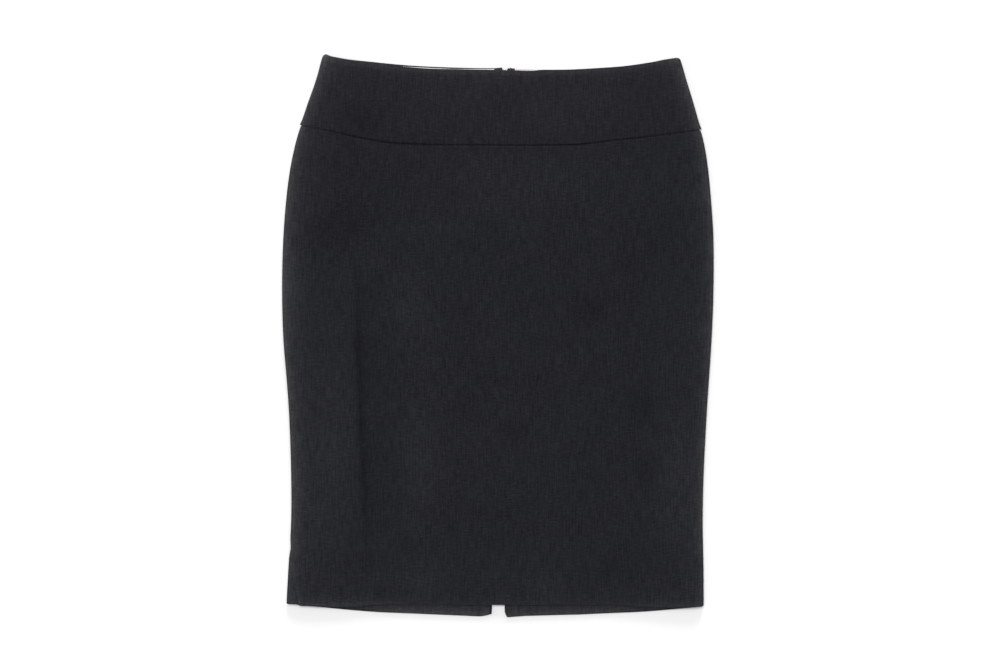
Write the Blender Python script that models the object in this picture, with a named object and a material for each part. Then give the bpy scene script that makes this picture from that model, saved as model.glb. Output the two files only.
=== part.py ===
"""Pencil skirt laid flat on its back, front up: yoke, front panel, split back, centre-back zip.

Metres. +X is the right of the laid front, +Y runs from the hem to the waist and +Z is up. The origin is
the middle of the laid outline, on the surface that the skirt lies on. Tables are in millimetres.
"""

import math
from collections import namedtuple

import bmesh
import bpy

MM = 0.001

# ---- The laid outline: half widths from the middle, hem to waist --------------------------------
Level = namedtuple("Level", "up left right")
LEVELS = (
    Level(-303.0, 224.6, 226.2),
    Level(-249.0, 222.3, 225.5),
    Level(-199.0, 220.1, 224.3),
    Level(-149.0, 220.7, 224.7),
    Level(-89.0, 223.4, 226.6),
    Level(-49.0, 226.6, 228.8),
    Level(-9.0, 230.4, 230.9),
    Level(31.0, 232.3, 232.4),
    Level(71.0, 232.7, 232.7),
    Level(111.0, 231.6, 231.9),
    Level(151.0, 228.7, 229.1),
    Level(181.0, 224.8, 225.7),
    Level(211.0, 218.7, 220.5),
    Level(241.0, 210.2, 212.9),
    Level(271.0, 200.1, 203.6),
    Level(303.0, 190.7, 193.7),
)

# ---- The cut edges, read from side to side: -1 is the left fold and 1 the right -----------------
Edge = namedtuple("Edge", "across back_waist front_waist yoke_seam front_hem back_hem")
EDGES = (
    Edge(-1.00, 302.6, 301.8, 225.6, -291.6, -291.6),
    Edge(-0.85, 297.1, 296.2, 220.0, -292.1, -294.5),
    Edge(-0.70, 294.5, 293.4, 213.2, -291.6, -296.7),
    Edge(-0.55, 292.0, 290.2, 208.1, -291.2, -298.6),
    Edge(-0.40, 290.5, 287.6, 206.6, -290.8, -299.8),
    Edge(-0.20, 289.4, 286.3, 206.3, -290.5, -301.4),
    Edge(0.00, 289.3, 286.0, 206.7, -290.1, -303.3),
    Edge(0.20, 288.0, 286.5, 206.9, -289.6, -300.9),
    Edge(0.40, 288.9, 288.6, 208.3, -289.3, -299.1),
    Edge(0.55, 291.0, 290.8, 212.7, -289.1, -297.2),
    Edge(0.70, 293.8, 293.6, 216.3, -291.0, -295.3),
    Edge(0.85, 297.9, 297.7, 220.7, -291.2, -292.5),
    Edge(1.00, 302.7, 302.7, 225.7, -289.7, -289.7),
)
EDGE_LEVEL = {
    "back_waist": 290.0 * MM,
    "front_waist": 290.0 * MM,
    "yoke_seam": 212.0 * MM,
    "front_hem": -291.0 * MM,
    "back_hem": -298.0 * MM,
}

# ---- How high the laid front stands: the two side rolls and the middle --------------------------
Height = namedtuple("Height", "up crown_left crown_right middle")
HEIGHTS = (
    Height(-303.0, 6.1, 6.2, 5.0),
    Height(-262.0, 6.7, 6.7, 4.9),
    Height(-235.0, 6.9, 6.9, 4.4),
    Height(-150.0, 7.1, 7.1, 4.25),
    Height(0.0, 7.1, 6.9, 4.3),
    Height(110.0, 7.0, 7.1, 4.6),
    Height(215.0, 6.8, 6.8, 4.9),
    Height(303.0, 6.3, 6.2, 5.0),
)

# ---- The long crease: the cloth left of it stands higher and steps down to the right ------------
Crease = namedtuple("Crease", "up x share")
CREASE = (
    Crease(-303.0, -137.5, 0.0),
    Crease(-262.0, -138.0, 0.0),
    Crease(-238.0, -138.5, 0.25),
    Crease(-206.0, -139.5, 0.5),
    Crease(-173.0, -142.5, 0.75),
    Crease(-141.0, -144.0, 0.95),
    Crease(-108.0, -145.5, 1.0),
    Crease(-17.0, -149.5, 1.0),
    Crease(37.0, -151.0, 1.0),
    Crease(70.0, -155.0, 0.7),
    Crease(102.0, -159.5, 0.25),
    Crease(140.0, -160.0, 0.0),
    Crease(215.0, -148.0, 0.0),
    Crease(303.0, -128.0, 0.0),
)
CREASE_STEP = 1.9 * MM
CREASE_SHOULDER = 0.35 * MM
CREASE_TOE = 0.45 * MM
CREASE_HALF_WIDTH = 3.2 * MM
CREASE_SPREAD = 11 * MM
STEP_BEFORE_LINE = 1.5 * MM
SHOULDER_BEFORE_LINE = 9 * MM
SHOULDER_HALF_WIDTH = 7 * MM
TOE_EASE = 6 * MM

# ---- Soft hollows and swells in the front, each an oval with its long side turned from +X -------
Swell = namedtuple("Swell", "x up turn long wide rise")
SWELLS = (
    Swell(-15.0, 165.0, 15.0, 60.0, 26.0, -0.25),
    Swell(40.0, 110.0, 80.0, 90.0, 40.0, 0.40),
    Swell(120.0, 42.0, -25.0, 80.0, 26.0, -0.30),
    Swell(160.0, -65.0, 60.0, 90.0, 30.0, -0.25),
    Swell(-85.0, -60.0, 85.0, 130.0, 34.0, 0.45),
    Swell(60.0, -160.0, 75.0, 120.0, 40.0, 0.35),
)

# ---- Cloth, folds and seams -----------------------------------------------------------------------
CLOTH = 1.6 * MM
YOKE_PROUD = 0.4 * MM
HEM_EXTRA = 0.6 * MM
HEM_DEPTH = 35 * MM
HEM_EASE = 7 * MM
SEAM_GAP = 0.3 * MM
ROLL_RADIUS = 2.5 * MM
ROLL_TURN = math.radians(70)
CROWN_INSET = 14 * MM
CROWN_SETTLE = 70 * MM
YOKE_STEP = 0.4 * MM
PANEL_TUCK = 0.9 * MM
STEP_FADE = 12 * MM
EDGE_DROP = 0.5 * MM
EDGE_ROUND = 2.5 * MM
WAIST_CORNER = 3.2 * MM
HEM_CORNER_LEFT = 2.2 * MM
HEM_CORNER_RIGHT = 4.0 * MM
TRIM_FADE = 12 * MM

# ---- Side seam: it rides over on to the front at the bottom left --------------------------------
WRAP_TOP = -234 * MM
WRAP_BOTTOM = -291.6 * MM
WRAP_RUN = 14.6 * MM

# ---- Centre back: zip above, seam, then the open slit -------------------------------------------
CENTRE_BACK = 5.3 * MM
SLIT_TOP = -130 * MM
SLIT_HALF = 7.2 * MM
SLIT_CORNER_LEFT = 3.2 * MM
SLIT_CORNER_RIGHT = 0.4 * MM
SLIT_SLANT_LEFT = 12 * MM
SLIT_SLANT_RIGHT = 4 * MM
ZIP_V_DEPTH = 18 * MM
ZIP_V_HALF = 2.8 * MM
ZIP_LENGTH = 190 * MM
TAPE_PROUD = 1.1 * MM
TAPE_OUTER = 9.8 * MM
TAPE_INNER_TOP = 3.2 * MM
TAPE_INNER = 0.6 * MM
TAPE_THICK = 0.7 * MM
TAPE_CLOSE_FROM = 15 * MM
TAPE_CLOSE_OVER = 9 * MM
SLIDER_BELOW_WAIST = 9 * MM
FACING_DEPTH = 40 * MM
FACING_THICK = 0.8 * MM
FACING_FROM_CENTRE = 11.4 * MM
FACING_FROM_SIDE = 18 * MM
FACING_DROP_LEFT = 0.9 * MM
FACING_DROP_RIGHT = 0.1 * MM

# ---- Room for the slider and its tab: the back lifts under them and the front swells over them --
LIFT = 2.35 * MM
LIFT_HALF_WIDTH = 30 * MM
LIFT_HALF_LENGTH = 38 * MM
SWELL_OVER_ZIP = 3.6 * MM
SWELL_HALF_WIDTH = 46 * MM
SWELL_HALF_LENGTH = 48 * MM
TAB_MIDDLE_BELOW_SLIDER = 5 * MM

# ---- Slider and pull tab ----------------------------------------------------------------------------
SLIDER_LENGTH = 8.0 * MM
SLIDER_WIDTH = 5.4 * MM
SLIDER_THICK = 1.5 * MM
SLIDER_EDGE = 0.35 * MM
NECK_WIDTH = 1.0 * MM
NECK_LENGTH = 2.6 * MM
NECK_BELOW_PIN = 0.2 * MM
PIN_RADIUS = 0.3 * MM
PIN_LENGTH = 3.8 * MM
PIN_HEIGHT = 1.05 * MM
KNUCKLE_RADIUS = 0.75 * MM
KNUCKLE_BORE = 0.42 * MM
KNUCKLE_INNER = 0.8 * MM
KNUCKLE_OUTER = 1.7 * MM
TAB_LENGTH = 17 * MM
TAB_THICK = 0.8 * MM
TAB_END_RADIUS = 2.4 * MM
TAB_WINDOW = 2.1 * MM

# ---- Mesh grids -------------------------------------------------------------------------------------
ROLL_ANGLES = (0, 25, 50, 70)
FACING_ACROSS = (0, 0.15, 0.32, 0.5, 0.68, 0.84, 0.94, 1)
FACING_DOWN = (0, 0.5, 1)
TAPE_DOWN = (3, 9, 15, 18, 21, 24, 34, 48, 70, 110, 150)
ROLL_INSETS = (5, 9, 14, 22)
CREASE_OFFSETS = (-24, -13, -8, -4.5, -1.5, 1.5, 5, 11, 22, 38)
OPEN_COLUMNS = 8
BACK_FOLD_COLUMNS = {-1: 9, 1: 4}
BACK_INSETS = (8, 16)
BACK_OPEN_COLUMNS = 6
EDGE_ROWS = (0, 2.5)
CORNER_ROWS = (0, 1.0, 3.5)
HEM_ROWS = (0, 1.2, 4, 14, 35, 42)
PANEL_ROWS = 14
YOKE_ROWS = 3

Row = namedtuple("Row", "up from_top from_bottom")
Spot = namedtuple("Spot", "x z lean side")


def smooth(share):
    """0 to 1 with level ends."""
    share = min(max(share, 0.0), 1.0)
    return share * share * (3 - 2 * share)


def bell(distance, reach):
    """1 at the middle, easing to 0 at the reach."""
    return smooth(1 - abs(distance) / reach)


def read(table, column, at):
    """The column's value at the place `at` in the table's first column, on a smooth curve."""
    keys = [row[0] for row in table]
    values = [getattr(row, column) for row in table]
    at = min(max(at, keys[0]), keys[-1])
    i = max(k for k in range(len(keys) - 1) if keys[k] <= at)
    step = keys[i + 1] - keys[i]
    t = (at - keys[i]) / step

    def slope(k):
        low, high = max(k - 1, 0), min(k + 1, len(keys) - 1)
        return (values[high] - values[low]) / (keys[high] - keys[low])

    rise = values[i + 1] - values[i]
    start, end = slope(i) * step, slope(i + 1) * step
    return values[i] + t * (start + t * (3 * rise - 2 * start - end + t * (start + end - 2 * rise)))


def half_width(side, up):
    return read(LEVELS, "left" if side < 0 else "right", up / MM) * MM


def edge_up(edge, x):
    """Where a cut edge lies, at this distance across."""
    across = x / half_width(math.copysign(1, x), EDGE_LEVEL[edge])
    return read(EDGES, edge, across) * MM


def corner_trim(distance, radius):
    """How far a rounded corner pulls the outline in, this far from the end."""
    if distance >= radius:
        return 0.0
    return radius - math.sqrt(radius**2 - (radius - distance) ** 2)


def trimmed(outline, inset, trim):
    """Distance out of a place this far in from the outline: a trim fades away inwards."""
    return outline - inset - trim * (1 - smooth(inset / TRIM_FADE))


def zip_bell(x, up, half_wide, half_long):
    """The rise round the slider and its tab."""
    middle = edge_up("back_waist", CENTRE_BACK) - SLIDER_BELOW_WAIST - TAB_MIDDLE_BELOW_SLIDER
    return bell(x - CENTRE_BACK, half_wide) * bell(up - middle, half_long)


def crease_height(x, up):
    beyond = x - read(CREASE, "x", up / MM) * MM
    share = max(read(CREASE, "share", up / MM), 0.0)
    step = CREASE_STEP * 0.5 * (1 - math.tanh((beyond + STEP_BEFORE_LINE) / CREASE_HALF_WIDTH))
    shoulder = CREASE_SHOULDER * math.exp(-(((beyond + SHOULDER_BEFORE_LINE) / SHOULDER_HALF_WIDTH) ** 2))
    toe = CREASE_TOE * math.exp(-max(beyond, 0) / CREASE_SPREAD) * smooth(beyond / TOE_EASE + 0.5)
    return share * (step + shoulder - toe)


def swell_height(x, up):
    total = 0.0
    for swell in SWELLS:
        turn = math.radians(swell.turn)
        dx, dy = x - swell.x * MM, up - swell.up * MM
        along = (dx * math.cos(turn) + dy * math.sin(turn)) / (swell.long * MM)
        over = (dy * math.cos(turn) - dx * math.sin(turn)) / (swell.wide * MM)
        total += swell.rise * MM * math.exp(-(along**2) - over**2)
    return total


def front_height(x, up):
    """The top of the front between the two side rolls."""
    middle = read(HEIGHTS, "middle", up / MM) * MM
    middle += crease_height(x, up) + swell_height(x, up)
    middle += SWELL_OVER_ZIP * zip_bell(x, up, SWELL_HALF_WIDTH, SWELL_HALF_LENGTH)
    near_left = 1 - smooth((x + half_width(-1, up) - CROWN_INSET) / CROWN_SETTLE)
    near_right = 1 - smooth((half_width(1, up) - x - CROWN_INSET) / CROWN_SETTLE)
    left = read(HEIGHTS, "crown_left", up / MM) * MM
    right = read(HEIGHTS, "crown_right", up / MM) * MM
    return middle * (1 - near_left - near_right) + left * near_left + right * near_right


def fold_spot(side, run, up, trim):
    """A place on the side fold. The run is along the outer face from the outermost line, + to the front."""
    arc_end = ROLL_TURN * ROLL_RADIUS
    if run <= arc_end:
        lean = run / ROLL_RADIUS
        x = side * trimmed(half_width(side, up), ROLL_RADIUS * (1 - math.cos(lean)), trim)
        return Spot(x, ROLL_RADIUS * (1 + math.sin(lean)), lean, side)
    arc_inset = ROLL_RADIUS * (1 - math.cos(ROLL_TURN))
    inset = arc_inset + run - arc_end
    x = side * trimmed(half_width(side, up), inset, trim)
    if inset >= CROWN_INSET:
        return Spot(x, front_height(x, up), math.pi / 2, side)
    start = ROLL_RADIUS * (1 + math.sin(ROLL_TURN))
    crown = read(HEIGHTS, "crown_left" if side < 0 else "crown_right", up / MM) * MM
    reach = CROWN_INSET - arc_inset
    t = (run - arc_end) / reach
    slope = 2 * (crown - start) / reach * (1 - t)
    height = start + (crown - start) * t * (2 - t)
    return Spot(x, height, math.pi / 2 - math.atan(slope), side)


def side_seam_run(side, up):
    """Where the side seam lies on the fold: at the outline, and over on to the front at the bottom left."""
    if side > 0:
        return 0.0
    share = min(max((WRAP_TOP - up) / (WRAP_TOP - WRAP_BOTTOM), 0.0), 1.0)
    return WRAP_RUN * share**1.15


def run_of_inset(inset):
    return ROLL_TURN * ROLL_RADIUS + inset - ROLL_RADIUS * (1 - math.cos(ROLL_TURN))


ROLL_RUNS = tuple(math.radians(angle) * ROLL_RADIUS for angle in ROLL_ANGLES)
ROLL_RUNS += tuple(run_of_inset(inset * MM) for inset in ROLL_INSETS)


def front_columns():
    """Columns of the front wall, as (kind, value), from the left side seam to the right."""
    columns = [("left", run) for run in ROLL_RUNS]
    columns += [("before", 0.5)]
    columns += [("crease", offset * MM) for offset in CREASE_OFFSETS]
    columns += [("open", (k + 1) / (OPEN_COLUMNS + 1)) for k in range(OPEN_COLUMNS)]
    columns += [("right", run) for run in reversed(ROLL_RUNS)]
    return columns


def front_spot(column, up, trims):
    kind, value = column
    if kind in ("left", "right"):
        side = -1 if kind == "left" else 1
        seam = side_seam_run(side, up) + SEAM_GAP / 2
        run = seam + value * (1 - seam / ROLL_RUNS[-1])
        return fold_spot(side, run, up, trims[side])
    crease = read(CREASE, "x", up / MM) * MM
    if kind == "crease":
        x = crease + value
    elif kind == "before":
        start = ROLL_INSETS[-1] * MM - half_width(-1, up)
        x = start + (crease + CREASE_OFFSETS[0] * MM - start) * value
    else:
        start = crease + CREASE_OFFSETS[-1] * MM
        end = half_width(1, up) - ROLL_INSETS[-1] * MM
        x = start + (end - start) * value
    return Spot(x, front_height(x, up), math.pi / 2, 1)


def back_columns(side):
    """Columns of one back half, from the side seam to the centre back."""
    count = BACK_FOLD_COLUMNS[side]
    columns = [("fold", k / count) for k in range(count + 1)]
    columns += [("inset", inset * MM) for inset in BACK_INSETS]
    columns += [("open", (k + 1) / BACK_OPEN_COLUMNS) for k in range(BACK_OPEN_COLUMNS)]
    return columns


def centre_edge(side, up):
    """The back half's edge at the centre: apart above the slider, closed, then apart down the slit."""
    gap = SEAM_GAP / 2
    waist = edge_up("back_waist", CENTRE_BACK)
    if up > waist - ZIP_V_DEPTH:
        gap += ZIP_V_HALF * min(1 - (waist - up) / ZIP_V_DEPTH, 1.0) ** 1.2
    hem = edge_up("back_hem", CENTRE_BACK)
    if up < SLIT_TOP:
        gap += SLIT_HALF * min((SLIT_TOP - up) / (SLIT_TOP - hem), 1.0) ** 1.2
    return CENTRE_BACK + side * gap


def back_lift(x, up):
    return LIFT * zip_bell(x, up, LIFT_HALF_WIDTH, LIFT_HALF_LENGTH)


def back_spot(side, column, up, trims):
    kind, value = column
    quarter = math.pi / 2 * ROLL_RADIUS
    if kind == "fold":
        seam = side_seam_run(side, up) - SEAM_GAP / 2
        return fold_spot(side, seam - value * (seam + quarter), up, trims[side])
    if kind == "inset":
        x = side * trimmed(half_width(side, up), value, trims[side])
    else:
        start = side * (half_width(side, up) - BACK_INSETS[-1] * MM)
        x = start + (centre_edge(side, up) - start) * value
    return Spot(x, back_lift(x, up), -math.pi / 2, side)


def rows_between(top, bottom, top_rows, count, bottom_rows):
    """Heights down a piece: fixed distances at both ends, even steps between."""
    first, last = top - top_rows[-1] * MM, bottom + bottom_rows[-1] * MM
    ups = [top - d * MM for d in top_rows]
    ups += [first + (last - first) * (k + 1) / (count + 1) for k in range(count)]
    ups += [bottom + d * MM for d in reversed(bottom_rows)]
    return [Row(up, top - up, up - bottom) for up in ups]


def edge_drop(row):
    """The outer face sinks into a seam and round a folded edge."""
    nearest = min(row.from_top, row.from_bottom)
    return EDGE_DROP * max(1 - nearest / EDGE_ROUND, 0.0) ** 2


def two_faces(spot, up, thick, drop, proud):
    """The outer and inner point of a wall: its thickness runs in from the outer face."""
    out_x, out_z = spot.side * math.cos(spot.lean), math.sin(spot.lean)
    outer = proud - drop
    inner = proud - thick
    return (
        (spot.x + out_x * outer, up, spot.z + out_z * outer),
        (spot.x + out_x * inner, up, spot.z + out_z * inner),
    )


def proud_of(spot, proud):
    """A thicker piece stands out on the front and the fold, and lies level underneath."""
    return proud * min(1 + math.sin(spot.lean), 1.0)


def closed_wall(name, grid, material):
    """One closed solid from rows of (outer, inner) points, all rows of one length."""
    mesh = bpy.data.meshes.new(name)
    shell = bmesh.new()
    faces = [[[shell.verts.new(pair[k]) for pair in row] for row in grid] for k in (0, 1)]
    rows, columns = len(grid), len(grid[0])
    for r in range(rows - 1):
        for c in range(columns - 1):
            for k in (0, 1):
                a, b = faces[k][r][c], faces[k][r][c + 1]
                d, e = faces[k][r + 1][c], faces[k][r + 1][c + 1]
                shell.faces.new((a, b, e, d))
    around = [(0, c) for c in range(columns)]
    around += [(r, columns - 1) for r in range(1, rows)]
    around += [(rows - 1, c) for c in range(columns - 2, -1, -1)]
    around += [(r, 0) for r in range(rows - 2, 0, -1)]
    for (r, c), (s, d) in zip(around, around[1:] + around[:1]):
        shell.faces.new((faces[0][r][c], faces[0][s][d], faces[1][s][d], faces[1][r][c]))
    bmesh.ops.recalc_face_normals(shell, faces=shell.faces)
    bmesh.ops.triangulate(shell, faces=shell.faces, quad_method="BEAUTY")
    shell.to_mesh(mesh)
    shell.free()
    mesh.materials.append(material)
    mesh.shade_smooth()
    mesh.set_sharp_from_angle(angle=math.radians(40))
    piece = bpy.data.objects.new(name, mesh)
    bpy.context.scene.collection.objects.link(piece)


def wall_grid(columns, top_of, bottom_of, row_steps, spot_of, thick_of, proud):
    """Rows of points for a piece whose columns each run from their own top to their own bottom."""
    per_column = []
    for column in columns:
        rows = rows_between(top_of(column), bottom_of(column), *row_steps)
        points = []
        for row in rows:
            spot = spot_of(column, row)
            stand = proud_of(spot, proud)
            points.append(two_faces(spot, row.up, thick_of(row) + stand, edge_drop(row), stand))
        per_column.append(points)
    return list(zip(*per_column))


def hem_thickness(row):
    """Two plies where the hem is turned up."""
    return CLOTH + HEM_EXTRA * (1 - smooth((row.from_bottom - HEM_DEPTH) / HEM_EASE))


def yoke_trims(row):
    """A yoke's corners are rounded at the waist, and it stands out a little above its seam."""
    trim = corner_trim(row.from_top, WAIST_CORNER) - YOKE_STEP * math.exp(-row.from_bottom / STEP_FADE)
    return {-1: trim, 1: trim}


def panel_trims(row):
    """A panel tucks in under the yoke seam, and its hem corners are rounded."""
    tuck = PANEL_TUCK * math.exp(-row.from_top / STEP_FADE)
    return {
        -1: tuck + corner_trim(row.from_bottom, HEM_CORNER_LEFT),
        1: tuck + corner_trim(row.from_bottom, HEM_CORNER_RIGHT),
    }


NO_TRIM = {-1: 0.0, 1: 0.0}
YOKE_FOOT = {-1: -YOKE_STEP, 1: -YOKE_STEP}
PANEL_HEAD = {-1: PANEL_TUCK, 1: PANEL_TUCK}


def front_edge(edge, column, trims=NO_TRIM):
    return edge_up(edge, front_spot(column, EDGE_LEVEL[edge], trims).x)


def back_edge(edge, side, column, trims=NO_TRIM):
    spot = back_spot(side, column, EDGE_LEVEL[edge], trims)
    over_the_front = column[0] == "fold" and spot.lean > 0
    return edge_up(edge, side * half_width(side, EDGE_LEVEL[edge]) if over_the_front else spot.x)


def slit_corner(side, column):
    """The hem rises to the corner of the slit."""
    x = back_spot(side, column, EDGE_LEVEL["back_hem"], NO_TRIM).x
    rise, slant = SLIT_CORNER_LEFT, SLIT_SLANT_LEFT
    if side > 0:
        rise, slant = SLIT_CORNER_RIGHT, SLIT_SLANT_RIGHT
    from_edge = abs(x - centre_edge(side, EDGE_LEVEL["back_hem"]))
    return rise * max(1 - from_edge / slant, 0.0) ** 1.5


def material(name, colour, roughness):
    made = bpy.data.materials.new(name)
    made.use_nodes = True
    shader = made.node_tree.nodes["Principled BSDF"]
    shader.inputs["Base Color"].default_value = (*colour, 1.0)
    shader.inputs["Roughness"].default_value = roughness
    return made


def make_front(wool):
    half = SEAM_GAP / 2
    closed_wall(
        "front_yoke",
        wall_grid(
            front_columns(),
            lambda column: front_edge("front_waist", column),
            lambda column: front_edge("yoke_seam", column, YOKE_FOOT) + half,
            (CORNER_ROWS, YOKE_ROWS, EDGE_ROWS),
            lambda column, row: front_spot(column, row.up, yoke_trims(row)),
            lambda row: CLOTH,
            YOKE_PROUD,
        ),
        wool,
    )
    closed_wall(
        "front_panel",
        wall_grid(
            front_columns(),
            lambda column: front_edge("yoke_seam", column, PANEL_HEAD) - half,
            lambda column: front_edge("front_hem", column),
            (EDGE_ROWS, PANEL_ROWS, HEM_ROWS),
            lambda column, row: front_spot(column, row.up, panel_trims(row)),
            hem_thickness,
            0.0,
        ),
        wool,
    )


def make_back(side, word, wool):
    half = SEAM_GAP / 2
    columns = back_columns(side)
    closed_wall(
        f"back_yoke_{word}",
        wall_grid(
            columns,
            lambda column: back_edge("back_waist", side, column),
            lambda column: back_edge("yoke_seam", side, column, YOKE_FOOT) + half,
            (CORNER_ROWS, YOKE_ROWS, EDGE_ROWS),
            lambda column, row: back_spot(side, column, row.up, yoke_trims(row)),
            lambda row: CLOTH,
            YOKE_PROUD,
        ),
        wool,
    )
    closed_wall(
        f"back_panel_{word}",
        wall_grid(
            columns,
            lambda column: back_edge("yoke_seam", side, column, PANEL_HEAD) - half,
            lambda column: back_edge("back_hem", side, column) + slit_corner(side, column),
            (EDGE_ROWS, PANEL_ROWS, HEM_ROWS),
            lambda column, row: back_spot(side, column, row.up, panel_trims(row)),
            hem_thickness,
            0.0,
        ),
        wool,
    )


def lying_on_back(x, up, thick):
    """The lower and upper point of what lies on the inner face of the back."""
    base = back_lift(x, up) + CLOTH + SEAM_GAP
    return (x, up, base), (x, up, base + thick)


def make_facing(side, word, satin):
    drop = FACING_DROP_LEFT if side < 0 else FACING_DROP_RIGHT
    grid = []
    start = CENTRE_BACK + side * FACING_FROM_CENTRE
    end = side * (half_width(side, EDGE_LEVEL["back_waist"]) - FACING_FROM_SIDE)
    for depth in FACING_DOWN:
        row = []
        for share in FACING_ACROSS:
            x = start + (end - start) * share
            row.append(lying_on_back(x, edge_up("back_waist", x) - drop - FACING_DEPTH * depth, FACING_THICK))
        grid.append(row)
    closed_wall(f"back_facing_{word}", grid, satin)


def make_tape(side, word, tape):
    """The tape's inner edge swings out round the slider and follows the V above it."""
    waist = edge_up("back_waist", CENTRE_BACK + side * TAPE_OUTER)
    grid = []
    for below in (-TAPE_PROUD / MM, *TAPE_DOWN, ZIP_LENGTH / MM):
        up = waist - below * MM
        closing = smooth((below * MM - TAPE_CLOSE_FROM) / TAPE_CLOSE_OVER)
        inner = TAPE_INNER_TOP + (TAPE_INNER - TAPE_INNER_TOP) * closing
        places = (inner, (inner + TAPE_OUTER) / 2, TAPE_OUTER)
        grid.append([lying_on_back(CENTRE_BACK + side * place, up, TAPE_THICK) for place in places])
    closed_wall(f"zip_tape_{word}", grid, tape)


def block(name, low, high):
    """A box between two corners."""
    mesh = bpy.data.meshes.new(name)
    box = bmesh.new()
    bmesh.ops.create_cube(box, size=1.0)
    for vert in box.verts:
        vert.co = [low[k] + (vert.co[k] + 0.5) * (high[k] - low[k]) for k in range(3)]
    box.to_mesh(mesh)
    box.free()
    made = bpy.data.objects.new(name, mesh)
    bpy.context.scene.collection.objects.link(made)
    return made


def rod(name, radius, start, end, segments=16):
    """A round bar along X, its middle on the pin's axis."""
    mesh = bpy.data.meshes.new(name)
    bar = bmesh.new()
    bmesh.ops.create_cone(
        bar, cap_ends=True, segments=segments, radius1=radius, radius2=radius, depth=end - start
    )
    for vert in bar.verts:
        x, y, z = vert.co
        vert.co = (z + (start + end) / 2, x, y)
    bar.to_mesh(mesh)
    bar.free()
    made = bpy.data.objects.new(name, mesh)
    bpy.context.scene.collection.objects.link(made)
    return made


def join_or_cut(piece, helper, operation):
    helper.parent = piece.parent
    helper.hide_render = True
    helper.display_type = "WIRE"
    change = piece.modifiers.new(helper.name, "BOOLEAN")
    change.operation = operation
    change.object = helper


def make_slider(pivot, enamel):
    """A flat body with rounded shoulders between the tapes, and a neck through the seam to the pin."""
    under = LIFT + CLOTH + SEAM_GAP - PIN_HEIGHT
    half, long = SLIDER_WIDTH / 2, SLIDER_LENGTH / 2
    outline = ((-0.55, -1), (0.55, -1), (0.62, 0), (1, 0.45), (0.85, 0.85), (0.4, 1), (-0.4, 1))
    outline += ((-0.85, 0.85), (-1, 0.45), (-0.62, 0))
    mesh = bpy.data.meshes.new("zip_slider")
    body = bmesh.new()
    ring = [body.verts.new((x * half, y * long, under)) for x, y in outline]
    face = body.faces.new(ring)
    raised = bmesh.ops.extrude_face_region(body, geom=[face])["geom"]
    for vert in (item for item in raised if isinstance(item, bmesh.types.BMVert)):
        vert.co.z += SLIDER_THICK
    bmesh.ops.recalc_face_normals(body, faces=body.faces)
    body.to_mesh(mesh)
    body.free()
    mesh.materials.append(enamel)
    slider = bpy.data.objects.new("zip_slider", mesh)
    bpy.context.scene.collection.objects.link(slider)
    slider.parent = pivot
    edges = slider.modifiers.new("worn_edges", "BEVEL")
    edges.width = SLIDER_EDGE
    edges.segments = 2
    neck_low = -PIN_RADIUS - NECK_BELOW_PIN
    neck = block(
        "neck_shape",
        (-NECK_WIDTH / 2, -NECK_LENGTH / 2, neck_low),
        (NECK_WIDTH / 2, NECK_LENGTH / 2, under + SLIDER_THICK / 2),
    )
    join_or_cut(slider, neck, "UNION")
    pin = rod("pin_shape", PIN_RADIUS, -PIN_LENGTH / 2, PIN_LENGTH / 2)
    join_or_cut(slider, pin, "UNION")


def make_pull(pivot, enamel):
    """A teardrop tab with a window at its top and a knuckle on each side of the neck."""
    mesh = bpy.data.meshes.new("zip_pull")
    plate = bmesh.new()
    outline = [(KNUCKLE_OUTER, 0.0)]
    turns = 10
    for k in range(turns + 1):
        angle = math.radians(15 - 210 * k / turns)
        x = TAB_END_RADIUS * math.cos(angle)
        outline.append((x, -TAB_LENGTH + TAB_END_RADIUS + TAB_END_RADIUS * math.sin(angle)))
    outline += [(-KNUCKLE_OUTER, 0.0), (-KNUCKLE_INNER, 0.0), (-KNUCKLE_INNER, -TAB_WINDOW)]
    outline += [(KNUCKLE_INNER, -TAB_WINDOW), (KNUCKLE_INNER, 0.0)]
    ring = [plate.verts.new((x, y, -TAB_THICK / 2)) for x, y in outline]
    face = plate.faces.new(ring)
    raised = bmesh.ops.extrude_face_region(plate, geom=[face])["geom"]
    for vert in (item for item in raised if isinstance(item, bmesh.types.BMVert)):
        vert.co.z += TAB_THICK
    bmesh.ops.recalc_face_normals(plate, faces=plate.faces)
    plate.to_mesh(mesh)
    plate.free()
    mesh.materials.append(enamel)
    pull = bpy.data.objects.new("zip_pull", mesh)
    bpy.context.scene.collection.objects.link(pull)
    pull.parent = pivot
    for side, word in ((-1, "left"), (1, "right")):
        low, high = sorted((side * KNUCKLE_INNER, side * KNUCKLE_OUTER))
        knuckle = rod(f"knuckle_{word}_shape", KNUCKLE_RADIUS, low, high)
        join_or_cut(pull, knuckle, "UNION")
    bore = rod("bore_shape", KNUCKLE_BORE, -2 * KNUCKLE_OUTER, 2 * KNUCKLE_OUTER)
    join_or_cut(pull, bore, "DIFFERENCE")


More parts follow.
